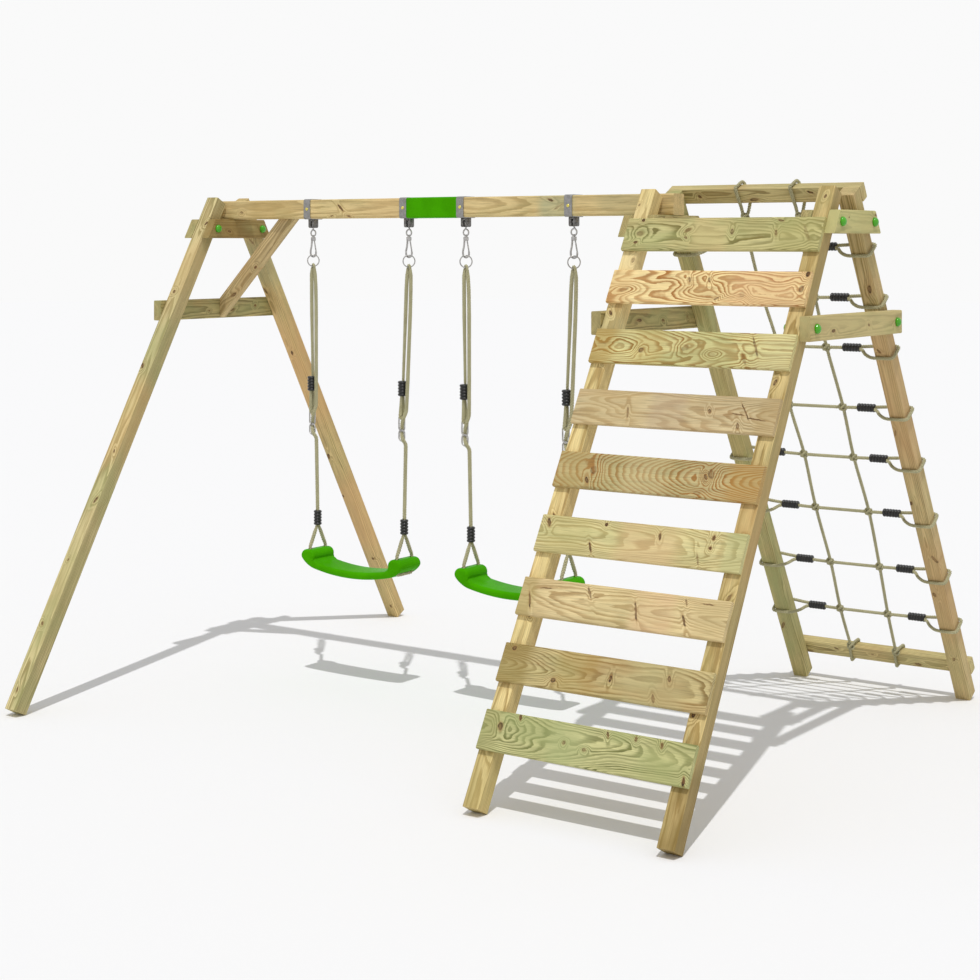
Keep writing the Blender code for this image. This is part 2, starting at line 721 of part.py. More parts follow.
def make_gate(name, location, parent, material):
    """The sprung bar that closes a snap hook, on its own hinge axis along Y."""
    half = GATE_THICKNESS / 2
    eye = rod(GATE_EYE_RADIUS, (0.0, -half, 0.0), (0.0, half, 0.0), ROUND_STEPS)
    gate = place(name, eye, material, smooth=True)
    tip_x = BODY_HALF_BOTTOM - GATE_PIVOT_X
    fall = NOSE_DROP - GATE_PIVOT_DROP
    tip_z = FIT_GAP + GATE_BAR_RADIUS * tip_x / fall - fall
    bar = rod(GATE_BAR_RADIUS, (0.0, 0.0, 0.0), (tip_x, 0.0, tip_z), FINE_STEPS)
    combine(gate, [bar], "UNION")
    hole = round_clear(GATE_PIN_RADIUS + FIT_GAP, FINE_STEPS)
    combine(gate, [rod(hole, (0.0, -2 * half, 0.0), (0.0, 2 * half, 0.0), FINE_STEPS)],
            "DIFFERENCE")
    gate.location = location
    gate.parent = parent


def ring_line():
    """Centre line of a ring about its own middle, in its turned upright plane."""
    across = (math.cos(RING_TURN), math.sin(RING_TURN), 0.0)
    return circle(RING_RADIUS, RING_STEPS, across, AXIS_Z)


def spread_points(corners, parts):
    """Evenly spaced points along a chain of straight runs."""
    return [start.lerp(end, part / parts)
            for start, end in zip(corners, corners[1:]) for part in range(parts)]


def ring_centre_drop():
    """How far below the pivot a ring's centre hangs, resting in its hook's bend.

    The ring is turned from the hook's plane, so it is lifted until the two round wires
    clear each other everywhere near the bend.
    """
    least = BODY_WIRE + RING_WIRE + FIT_GAP
    bend = spread_points(hook_bend(), BEND_STEPS)
    ring = spread_points(ring_line()[:RING_STEPS // 2 + 1], BEND_STEPS)
    drop = BODY_BOTTOM - least + RING_RADIUS
    while drop > BODY_BOTTOM - BODY_HALF_BOTTOM:
        centre = Vector((0.0, 0.0, -drop))
        if min((point - spot - centre).length for point in bend for spot in ring) >= least:
            break
        drop -= FIT_GAP / 2
    return drop


def make_ring(name, location, parent, material):
    bm = tube(ring_line(), RING_WIRE, closed=True)
    place(name, bm, material, location, parent=parent, smooth=True)


def sleeve_at(centre_x, top):
    """A crimped black sleeve, hung by its top."""
    bm = ribbed(SLEEVE_LENGTH, SLEEVE_RADIUS, SLEEVE_GROOVE, SLEEVE_RIBS, FINE_STEPS)
    return moved(bm, (centre_x, 0.0, -top - SLEEVE_LENGTH))


def wire_loop(top, bottom, centre):
    """A closed wire loop of the rope adjuster, in an upright plane along X."""
    half = ADJUSTER_HALF_WIDTH
    points = arc((*centre, -top - half), half, 0.0, 180.0, TURN_STEPS, AXIS_X, AXIS_Z)
    points += arc((*centre, half - bottom), half, 180.0, 360.0, TURN_STEPS, AXIS_X, AXIS_Z)
    return tube(points, ADJUSTER_WIRE, closed=True)


def rope_along(runs):
    """A rope through runs of points, each run with its own radius."""
    points = [point for run, _ in runs for point in run]
    radii = [radius for run, radius in runs for _ in run]
    return tube(points, ROPE_RADIUS, radii=radii)


def at(x, y, drop):
    """A point of a swing, given by its drop below the pivot."""
    return Vector((x, y, -drop))


def make_rope(name, location, parent, side, material):
    """A swing rope in one piece with its two sleeves and its figure-of-eight adjuster.

    It is drawn about its hanger's axis: side is -1 for a seat's left rope, 1 for its right.
    """
    bend_drop = ring_centre_drop() + RING_RADIUS
    lean = side * (SEAT_HOLE_X - HANGER_SPREAD / 2)

    def load_x(drop):
        """The straight line from the ring to the lower sleeve."""
        return lean * (drop - bend_drop) / (LOWER_SLEEVE_TOP - bend_drop)

    beside = ROPE_SQUEEZE + FIT_GAP / 2
    sleeve_x = load_x(UPPER_SLEEVE_TOP) - SLEEVE_OFFSET - side * SLEEVE_STAGGER
    sleeve_end = UPPER_SLEEVE_TOP + SLEEVE_LENGTH
    lower_middle = LOWER_SLEEVE_TOP + SLEEVE_LENGTH / 2
    lower_end = LOWER_SLEEVE_TOP + SLEEVE_LENGTH
    waist_x = load_x(ADJUSTER_WAIST) - SLEEVE_OFFSET
    off_wire = ROPE_RADIUS + ADJUSTER_WIRE / 2

    load = [at(lean, 0.0, lower_middle + 2 * EMBED),
            at(load_x(ADJUSTER_BOTTOM), 0.0, ADJUSTER_BOTTOM + WEAVE_LEAD)]
    load += [at(waist_x + across * ADJUSTER_HALF_WIDTH, face * off_wire, ADJUSTER_WAIST + below)
             for below, across, face in WEAVE]
    load += [at(load_x(ADJUSTER_TOP), 0.0, ADJUSTER_TOP - WEAVE_LEAD),
             at(load_x(UPPER_SLEEVE_TOP) + LOAD_SHIFT, 0.0, UPPER_SLEEVE_TOP)]
    across = (math.cos(ROPE_TURN), math.sin(ROPE_TURN), 0.0)
    nip = round_clear(RING_WIRE + ROPE_NIP + FIT_GAP, 2 * TURN_STEPS)
    over_ring = arc(at(0.0, 0.0, bend_drop), nip, 0.0, 180.0, TURN_STEPS, across, AXIS_Z)
    neck = at(0.0, 0.0, bend_drop + NECK_LENGTH)
    apart = Vector(across) * (ROPE_RADIUS + 2 * FIT_GAP)
    through_sleeve = [at(sleeve_x, beside, UPPER_SLEEVE_TOP - 4 * EMBED),
                      at(sleeve_x, beside, sleeve_end + EMBED)]
    eye = arc(at(waist_x, 0.0, ADJUSTER_TOP + ADJUSTER_WIRE), off_wire, 0.0, -180.0, TURN_STEPS,
              AXIS_Y, AXIS_Z)
    back_in = [at(sleeve_x, -beside, sleeve_end + EMBED),
               at(sleeve_x, -beside, sleeve_end - TAIL_IN_SLEEVE)]
    strand = rope_along([(load + [neck + apart], ROPE_RADIUS), (over_ring, ROPE_NIP),
                         ([neck - apart], ROPE_RADIUS), (through_sleeve, ROPE_SQUEEZE),
                         (eye, ROPE_RADIUS), (back_in, ROPE_SQUEEZE)])
    rope = place(name, strand, material, smooth=True)

    hole_top = SEAT_DROP - SEAT_ROLL_RISE - ROPE_LEAD
    bend_top = SEAT_DROP - ROPE_TROUGH_RISE
    corner = SEAT_HOLE_Y - ROPE_BEND
    front_leg = [at(lean, -beside, lower_middle - 2 * EMBED), at(lean, -beside, lower_end + EMBED)]
    rear_leg = [at(lean, beside, lower_end + EMBED), at(lean, beside, lower_middle - 2 * EMBED)]
    under = [at(lean, -SEAT_HOLE_Y, hole_top)]
    under += arc(at(lean, -corner, bend_top), ROPE_BEND, 180.0, 270.0, CORNER_STEPS,
                 AXIS_Y, AXIS_Z)
    under += arc(at(lean, corner, bend_top), ROPE_BEND, 270.0, 360.0, CORNER_STEPS,
                 AXIS_Y, AXIS_Z)
    under.append(at(lean, SEAT_HOLE_Y, hole_top))
    vee = rope_along([(front_leg, ROPE_SQUEEZE), (under, ROPE_RADIUS), (rear_leg, ROPE_SQUEEZE)])
    combine(rope, [vee, sleeve_at(sleeve_x, UPPER_SLEEVE_TOP), sleeve_at(lean, LOWER_SLEEVE_TOP),
                   wire_loop(ADJUSTER_TOP, ADJUSTER_WAIST + ADJUSTER_WIRE, (waist_x, 0.0)),
                   wire_loop(ADJUSTER_WAIST - ADJUSTER_WIRE, ADJUSTER_BOTTOM,
                             (waist_x, FIT_GAP))], "UNION")
    rope.location = location
    rope.parent = parent


def pan_height(x, base):
    """Height of the seat's long curve above its lowest line, at a distance from its middle."""
    return base + SEAT_CURVE - math.sqrt(SEAT_CURVE ** 2 - x ** 2)


def seat_outline():
    """The seat's side view as (x, z) points, its lowest line at z = 0, in one loop."""
    roll_z = SEAT_ROLL_RISE - SEAT_ROLL_RADIUS
    end_x = SEAT_HALF_LENGTH - SEAT_ROLL_RADIUS

    def on_roll(centre_x, degrees):
        angle = math.radians(degrees)
        return (centre_x + SEAT_ROLL_RADIUS * math.cos(angle),
                roll_z + SEAT_ROLL_RADIUS * math.sin(angle))

    right = []
    for step in range(SEAT_CURVE_STEPS + 1):
        x = SEAT_FOOT_X * step / SEAT_CURVE_STEPS
        right.append((x, pan_height(x, 0.0)))
    right.append((SEAT_TOE_X, SEAT_TOE_RISE))
    right += [on_roll(end_x, degrees) for degrees in OUTER_ROLL_ANGLES]
    right += [on_roll(SEAT_INNER_ROLL_X, degrees) for degrees in INNER_ROLL_ANGLES]
    crease_x = right[-1][0]
    for step in range(SEAT_CURVE_STEPS + 1):
        x = crease_x * (1 - step / SEAT_CURVE_STEPS)
        right.append((x, pan_height(x, SEAT_EDGE)))
    left = [(-x, z) for x, z in right[1:-1]]
    return right + list(reversed(left))


def make_seat(name, location, parent, material):
    """A moulded seat: one side view drawn through its depth, rounded, holed and troughed."""
    bm = prism(seat_outline(), SEAT_DEPTH)
    round_edges(bm, SEAT_ROUND, 2,
                lambda edge: abs(edge.verts[0].co.y - edge.verts[1].co.y) < SEAT_ROUND)
    seat = place(name, bm, material, smooth=True)
    hole = round_clear(ROPE_RADIUS + FIT_GAP, FINE_STEPS)
    cutters = []
    for side in (-1, 1):
        x = side * SEAT_HOLE_X
        for y in (-SEAT_HOLE_Y, SEAT_HOLE_Y):
            cutters.append(rod(hole, (x, y, 0.0), (x, y, 2 * SEAT_ROLL_RISE), FINE_STEPS))
        trough = block((ROPE_TROUGH_WIDTH, 2 * (SEAT_HOLE_Y + hole + FIT_GAP),
                        2 * ROPE_TROUGH_RISE))
        moved(trough, (side * (SEAT_HOLE_X + ROPE_TROUGH_WIDTH / 4), 0.0, 0.0))
        cutters.append(trough)
    combine(seat, cutters, "DIFFERENCE")
    seat.location = location
    seat.parent = parent


def make_swing(number, centre_x, materials):
    """One swing: its hooks, gates, rings, ropes and seat under one hinge line."""
    pivot = bpy.data.objects.new(f"swing_{number}_pivot", None)
    bpy.context.scene.collection.objects.link(pivot)
    pivot.location = (centre_x, 0.0, PIVOT_HEIGHT)
    ring_drop = ring_centre_drop()
    for label, side in (("left", -1), ("right", 1)):
        x = side * HANGER_SPREAD / 2
        make_hanger(f"hanger_{number}_{label}", centre_x + x, materials["steel"])
        make_snap_hook(f"snap_hook_{number}_{label}", (x, 0.0, 0.0), pivot, materials["steel"])
        make_gate(f"hook_gate_{number}_{label}",
                  (x + GATE_PIVOT_X, 0.0, -GATE_PIVOT_DROP), pivot, materials["steel"])
        make_ring(f"ring_{number}_{label}", (x, 0.0, -ring_drop), pivot, materials["steel"])
        make_rope(f"swing_rope_{number}_{label}", (x, 0.0, 0.0), pivot, side, materials["rope"])
    make_seat(f"swing_seat_{number}", (0.0, 0.0, -SEAT_DROP), pivot, materials["green"])


def row_drop(share):
    """How far down the legs a net row lies."""
    last = LEG_LENGTH - LAST_ROW_CLEAR
    return FIRST_ROW_DROP + share * (last - FIRST_ROW_DROP)


def net_point(x, down, out):
    return slope_point(1, x, down, out)


def leg_loop(face_x, direction, down):
    """A net row's loop round a rear leg, from inside its sleeve and back into it.

    face_x is the leg's face towards the net, and direction points away from the net.
    """
    clear = NET_ROPE + FIT_GAP
    start = -NET_SLEEVE_REACH - 2 * EMBED
    far = LEG_SECTION + clear + LOOP_SLACK
    front = -LEG_SECTION - clear
    sag = down + LOOP_SAG
    route = [(start, down, NET_PLANE + clear), (-NET_ROPE, down, 2 * clear),
             (far - LOOP_BEND, down, clear), (far, down, clear - LOOP_BEND),
             (far, sag, front + LOOP_BEND), (far - LOOP_BEND, sag, front),
             (FIT_GAP, sag, front), (-clear, sag, front + clear + FIT_GAP),
             (start, down, NET_PLANE - clear)]
    return tube([net_point(face_x + direction * along_x, low, out)
                 for along_x, low, out in route], NET_ROPE)


def net_sleeve(face_x, direction, down):
    """A crimped sleeve where a row's rope returns on itself."""
    bm = ribbed(NET_SLEEVE_LENGTH, NET_SLEEVE_RADIUS, NET_SLEEVE_GROOVE, NET_SLEEVE_RIBS,
                FINE_STEPS)
    bm.transform(Matrix.Rotation(math.radians(90) * direction, 4, "Y"))
    start = face_x - direction * (NET_SLEEVE_REACH + NET_SLEEVE_LENGTH)
    return moved(bm, net_point(start, down, NET_PLANE))


def rail_tie(x, rail_top, apex_down):
    """A rope loop round a net rail, closed at the point where it meets the upright rope.

    It is drawn as if the apex lay below the rail, and turned over where it lies above.
    """
    clear = NET_ROPE + FIT_GAP
    half = RAIL_WIDTH / 2 + clear
    back = RAIL_THICKNESS + FIT_GAP + clear
    front = FIT_GAP - clear
    over = 1 if apex_down > rail_top else -1
    middle = rail_top + RAIL_WIDTH / 2
    route = [(-1.0, half, front), (-1.6, TIE_CORNER - half, front),
             (-1.6, -half, front + TIE_CORNER), (-1.0, -half, back - TIE_CORNER),
             (-0.4, TIE_CORNER - half, back), (1.0, half - TIE_CORNER, back),
             (1.0, half, back - TIE_CORNER)]
    points = [net_point(x, apex_down, NET_PLANE + NET_ROPE / 2)]
    points += [net_point(x + drift * TIE_DRIFT, middle + over * down, out)
               for drift, down, out in route]
    return tube(points, NET_ROPE, closed=True)


def knot_at(x, down):
    """An eight-sided knot with its flats towards the four ropes that meet in it."""
    turn = math.pi / FINE_STEPS
    outline = [(NET_KNOT * math.cos(turn * (2 * side + 1)),
                NET_KNOT * math.sin(turn * (2 * side + 1))) for side in range(FINE_STEPS)]
    knot = prism(outline, NET_KNOT_DEPTH)
    knot.transform(Matrix.Rotation(LEG_LEAN, 4, "X"))
    return moved(knot, net_point(x, down, NET_PLANE))


def make_net(material):
    """The climbing net: two upright ropes, rows looped round the rear legs, and rail ties."""
    left_face = MIDDLE_LEG + LEG_SECTION
    right_face = RIGHT_LEG
    middle = (left_face + right_face) / 2
    rows = [row_drop(share) for share in ROW_SPREAD]
    top_apex = RAIL_WIDTH + TIE_APEX
    bottom_rail_top = LEG_LENGTH - BOTTOM_RAIL_CLEAR - RAIL_WIDTH
    bottom_apex = bottom_rail_top - TIE_APEX
    pieces = []
    for offset in NET_STRANDS:
        stops = [top_apex - 2 * EMBED] + rows + [bottom_apex + 2 * EMBED]
        pieces.append(tube([net_point(middle + offset, down, NET_PLANE) for down in stops],
                           NET_ROPE))
        pieces.append(rail_tie(middle + offset, 0.0, top_apex))
        pieces.append(rail_tie(middle + offset, bottom_rail_top, bottom_apex))
    for down in rows:
        reach = NET_SLEEVE_REACH + NET_SLEEVE_LENGTH / 2
        pieces.append(tube([net_point(left_face + reach, down, NET_PLANE),
                            net_point(right_face - reach, down, NET_PLANE)], NET_ROPE))
        for face_x, direction in ((left_face, -1), (right_face, 1)):
            pieces.append(leg_loop(face_x, direction, down))
            pieces.append(net_sleeve(face_x, direction, down))
        for offset in NET_STRANDS:
            pieces.append(knot_at(middle + offset, down))
    net = place("climbing_net", pieces[0], material, smooth=True)
    combine(net, pieces[1:], "UNION")


def main():
    clear_scene()
    pine = finish("pine_post", "D9B877", 0.72)
    treated = finish("treated_pine", "BDB37C", 0.76)
    board = finish("pine_board", "C6B37A", 0.74)
    materials = {
        "green": finish("green_plastic", "47A800", 0.28),
        "steel": finish("galvanised_steel", "8E9294", 0.38, 0.9),
        "rope": finish("twisted_rope", "A79F74", 0.92),
    }
    frames = {"left": LEFT_LEG, "middle": MIDDLE_LEG, "right": RIGHT_LEG}
    make_legs(frames, pine)
    make_upper_crossbars(frames, treated)
    make_lower_crossbars(frames, treated)
    make_beam(pine)
    make_brace(treated)
    make_boards(board)
    make_rails(treated)
    make_bolts(frames, materials["green"])
    for number, centre_x in enumerate(SWING_CENTRES, 1):
        make_swing(number, centre_x, materials)
    make_beam_wrap(SWING_CENTRES[0] + HANGER_SPREAD / 2, SWING_CENTRES[1] - HANGER_SPREAD / 2,
                   materials["green"])
    make_net(materials["rope"])


main()
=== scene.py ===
"""Looks of a wooden swing set: two seats on ropes, a plank climbing side and a rope net side.

Lengths are metres in the part's own frame. The origin is on the ground under the swing beam,
+X runs along the beam to the climbing end, +Y to the net side and +Z up.
"""

import json
import math
import random
from functools import cached_property

import bmesh
import bpy
import numpy as np
from bpy.props import FloatProperty, FloatVectorProperty, IntProperty, PointerProperty
from mathutils import Matrix, Vector
from mathutils.geometry import interpolate_bezier


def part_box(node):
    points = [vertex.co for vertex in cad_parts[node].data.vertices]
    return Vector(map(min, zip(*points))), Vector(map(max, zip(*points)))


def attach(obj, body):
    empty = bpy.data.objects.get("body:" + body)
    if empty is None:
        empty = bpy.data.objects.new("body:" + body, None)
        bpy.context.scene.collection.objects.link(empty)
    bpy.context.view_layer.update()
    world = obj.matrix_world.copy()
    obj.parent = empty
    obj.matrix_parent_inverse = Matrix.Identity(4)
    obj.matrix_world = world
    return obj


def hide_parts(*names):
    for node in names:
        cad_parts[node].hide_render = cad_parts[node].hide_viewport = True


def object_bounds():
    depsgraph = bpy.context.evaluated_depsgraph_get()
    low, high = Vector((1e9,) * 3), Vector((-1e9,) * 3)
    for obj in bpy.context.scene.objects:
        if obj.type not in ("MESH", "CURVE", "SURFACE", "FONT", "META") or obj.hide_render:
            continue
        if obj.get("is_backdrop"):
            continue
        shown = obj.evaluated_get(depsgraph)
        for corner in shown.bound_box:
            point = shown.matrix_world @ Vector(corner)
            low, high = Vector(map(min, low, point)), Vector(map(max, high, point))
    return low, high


bl_info = {
    "name": "Wooden Swing Set",
    "version": (1, 0, 0),
    "blender": (4, 5, 0),
    "location": "View3D > Sidebar > Swing Set",
    "description": "Dresses a wooden swing set with climbing boards and a rope net",
    "category": "Object",
}

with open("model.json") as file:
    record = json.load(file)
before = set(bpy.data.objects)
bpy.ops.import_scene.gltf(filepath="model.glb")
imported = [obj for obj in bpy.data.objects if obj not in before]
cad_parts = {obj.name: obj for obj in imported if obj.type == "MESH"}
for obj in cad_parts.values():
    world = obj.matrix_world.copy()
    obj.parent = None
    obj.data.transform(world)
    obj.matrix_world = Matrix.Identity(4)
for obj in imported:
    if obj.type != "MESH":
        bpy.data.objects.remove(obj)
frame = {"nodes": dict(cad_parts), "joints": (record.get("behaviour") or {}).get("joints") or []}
CAD_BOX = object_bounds()

AXIS_X = Vector((1.0, 0.0, 0.0))
AXIS_Y = Vector((0.0, 1.0, 0.0))
AXIS_Z = Vector((0.0, 0.0, 1.0))

LEAN = math.radians(29.3)
LEAN_SIN = math.sin(LEAN)
LEAN_COS = math.cos(LEAN)
LEG_SECTION = 0.070
QUARTER = math.pi / 2
FRAMES = ("left", "middle", "right")
SWINGS = (1, 2)


# Settings


def linear_colour(code):
    """A six-digit sRGB colour as linear light."""
    channels = []
    for start in (0, 2, 4):
        value = int(code[start:start + 2], 16) / 255.0
        channels.append(value / 12.92 if value <= 0.04045 else ((value + 0.055) / 1.055) ** 2.4)
    return (*channels, 1.0)


def colour(code, name, description):
    """A colour setting whose default is a six-digit sRGB value."""
    return FloatVectorProperty(name=name, description=description, subtype="COLOR", size=4,
                               min=0.0, max=1.0, default=linear_colour(code))


def length(value, name, description):
    """A length setting in metres."""
    return FloatProperty(name=name, description=description, unit="LENGTH", precision=4,
                         min=0.0, default=value)


class TimberLook(bpy.types.PropertyGroup):
    """Growth rings and treatment of the sawn pine."""

    ring_spacing: length(0.0062, "Ring spacing", "Distance between two growth rings")
    fibre_width: length(0.0018, "Fibre width", "Width of one fibre streak across the grain")
    stain: colour("9DA56A", "Treatment stain", "Green that the preservative leaves in the wood")
    heart: colour("A97B45", "Resin stain", "Brown of resinous patches")
    # side: painted shade, a brown that darkens a post's side faces against its front
    side: colour("776843", "Side", "Painted shade on a post's side faces")
    knot: colour("6A4A28", "Knot", "Brown of a knot")
    knot_rim: colour("2A1D12", "Knot rim", "Dark bark round a knot")


class RopeLook(bpy.types.PropertyGroup):
    """Lay and colour of the ropes."""

    swing_radius: length(0.0096, "Swing rope radius", "Radius of the ropes that carry the seats")
    swing_lay: length(0.036, "Swing rope lay", "Length of one turn of a strand")
    net_radius: length(0.0079, "Net rope radius", "Radius of the net's rope")
    net_lay: length(0.030, "Net rope lay", "Length of one turn of a strand")
    yarn: length(0.0016, "Yarn width", "Width of one yarn on a strand")
    fibre: colour("D8D3AB", "Fibre", "Khaki of the rope")
    # hollow: painted shade for the grooves between the yarns
    hollow: colour("6C6545", "Hollow", "Painted shade in the grooves between the yarns")


class PlasticLook(bpy.types.PropertyGroup):
    """Colours of the moulded plastic."""

    green: colour("47A705", "Green", "Green of the seats, caps and beam wrap")
    black: colour("11100F", "Black", "Black of the crimped rope sleeves")
    grain: length(0.0016, "Moulding grain", "Size of the fine texture from the mould")


class MetalLook(bpy.types.PropertyGroup):
    """Colours of the metal fittings."""

    zinc: colour("9C9A98", "Zinc", "Grey of the galvanised fittings")
    zinc_dull: colour("878581", "Dull zinc", "Darker crystals of the zinc")
    wire: colour("BDBBB8", "Plated wire", "Bright grey of the hooks and rings")
    steel: colour("8B8986", "Steel", "Dark grey of the bearing blocks")
    steel_dull: colour("565452", "Dull steel", "Darker patches of the bearing blocks")
    yellow_zinc: colour("E2D470", "Yellow zinc", "Yellow of the passivated screws")
    spangle: length(0.007, "Spangle", "Size of one crystal of zinc")


class StageLook(bpy.types.PropertyGroup):
    """The studio round the swing set."""

    paper: FloatProperty(name="Paper", description="Share of light that the floor gives back",
                         min=0.0, max=1.0, subtype="FACTOR", default=0.90)
    sky: FloatProperty(name="Sky", description="Even light from all round", min=0.0, default=0.56)
    backdrop: FloatProperty(name="Backdrop", description="Brightness seen behind the set",
                            min=0.0, max=1.0, subtype="FACTOR", default=0.955)
    sun_spread: FloatProperty(name="Sun spread", description="Apparent width of the lamp",
                              subtype="ANGLE", unit="ROTATION", default=math.radians(0.7))
    lens: FloatProperty(name="Lens", description="Focal length in millimetres", default=68.86)
    shift: FloatProperty(name="Shift", description="Upward shift of the lens", default=-0.2516)
    floor_sides: IntProperty(name="Floor sides", description="Corners of the round floor",
                             min=16, default=64)


# Materials


class Nodes:
    """Adds nodes to a tree; every input takes a value, or an output that is linked to it."""

    def __init__(self, tree):
        self.tree = tree

    def feed(self, socket, value):
        if isinstance(value, bpy.types.NodeSocket):
            self.tree.links.new(value, socket)
        else:
            socket.default_value = value

    def add(self, kind, inputs, **settings):
        node = self.tree.nodes.new(f"ShaderNode{kind}")
        for name, value in settings.items():
            setattr(node, name, value)
        for name, value in inputs.items():
            self.feed(node.inputs[name], value)
        return node

    def maths(self, operation, *values):
        return self.add("Math", dict(enumerate(values)), operation=operation).outputs[0]

    def vectors(self, operation, *values, output="Vector"):
        node = self.add("VectorMath", dict(enumerate(values)), operation=operation)
        return node.outputs[output]

    def moved(self, vector, place=(0.0, 0.0, 0.0), scale=(1.0, 1.0, 1.0), turn=(0.0, 0.0, 0.0),
              kind="POINT"):
        return self.add("Mapping", {"Vector": vector, "Location": place, "Rotation": turn,
                                    "Scale": scale}, vector_type=kind).outputs["Vector"]

    def noise(self, vector, scale, detail, roughness=0.5, output="Fac"):
        return self.add("TexNoise", {"Vector": vector, "Scale": scale, "Detail": detail,
                                     "Roughness": roughness}).outputs[output]

    def red_of(self, colour_output):
        return self.add("SeparateColor", {"Color": colour_output}).outputs["Red"]

    def ease(self, value, start, end, low=0.0, high=1.0):
        """Turns a range of values smoothly into another."""
        return self.add("MapRange", {"Value": value, "From Min": start, "From Max": end,
                                     "To Min": low, "To Max": high},
                        interpolation_type="SMOOTHSTEP").outputs["Result"]

    def mix(self, factor, first, second, kind="MIX"):
        """Mixes two colours; the numbers are the inputs of a colour mix."""
        return self.add("Mix", {0: factor, 6: first, 7: second}, data_type="RGBA",
                        blend_type=kind).outputs[2]

    def ramp(self, factor, *stops):
        """A grey ramp from (place, grey) stops."""
        node = self.add("ValToRGB", {"Fac": factor})
        elements = node.color_ramp.elements
        while len(elements) < len(stops):
            elements.new(0.5)
        for element, (place, grey) in zip(elements, stops):
            element.position = place
            element.color = (grey, grey, grey, 1.0)
        return node.outputs["Color"]

    def shaded(self, tint, factor, *stops):
        """A colour made lighter and darker by a grey ramp."""
        return self.mix(1.0, tint, self.ramp(factor, *stops), "MULTIPLY")


class Finish(Nodes):
    """A new material's nodes, round its main shader."""

    def __init__(self, name, **sockets):
        self.material = bpy.data.materials.new(name)
        self.material.use_nodes = True
        super().__init__(self.material.node_tree)
        self.shader = self.tree.nodes["Principled BSDF"]
        self.set(**sockets)

    @cached_property
    def where(self):
        """The object's own coordinates."""
        return self.add("TexCoord", {}).outputs["Object"]

    def set(self, **sockets):
        for name, value in sockets.items():
            self.feed(self.shader.inputs[name.replace("_", " ")], value)

    def bump(self, height, distance, strength=1.0):
        """Presses a height pattern into the surface."""
        self.set(Normal=self.add("Bump", {"Height": height, "Distance": distance,
                                          "Strength": strength}).outputs["Normal"])


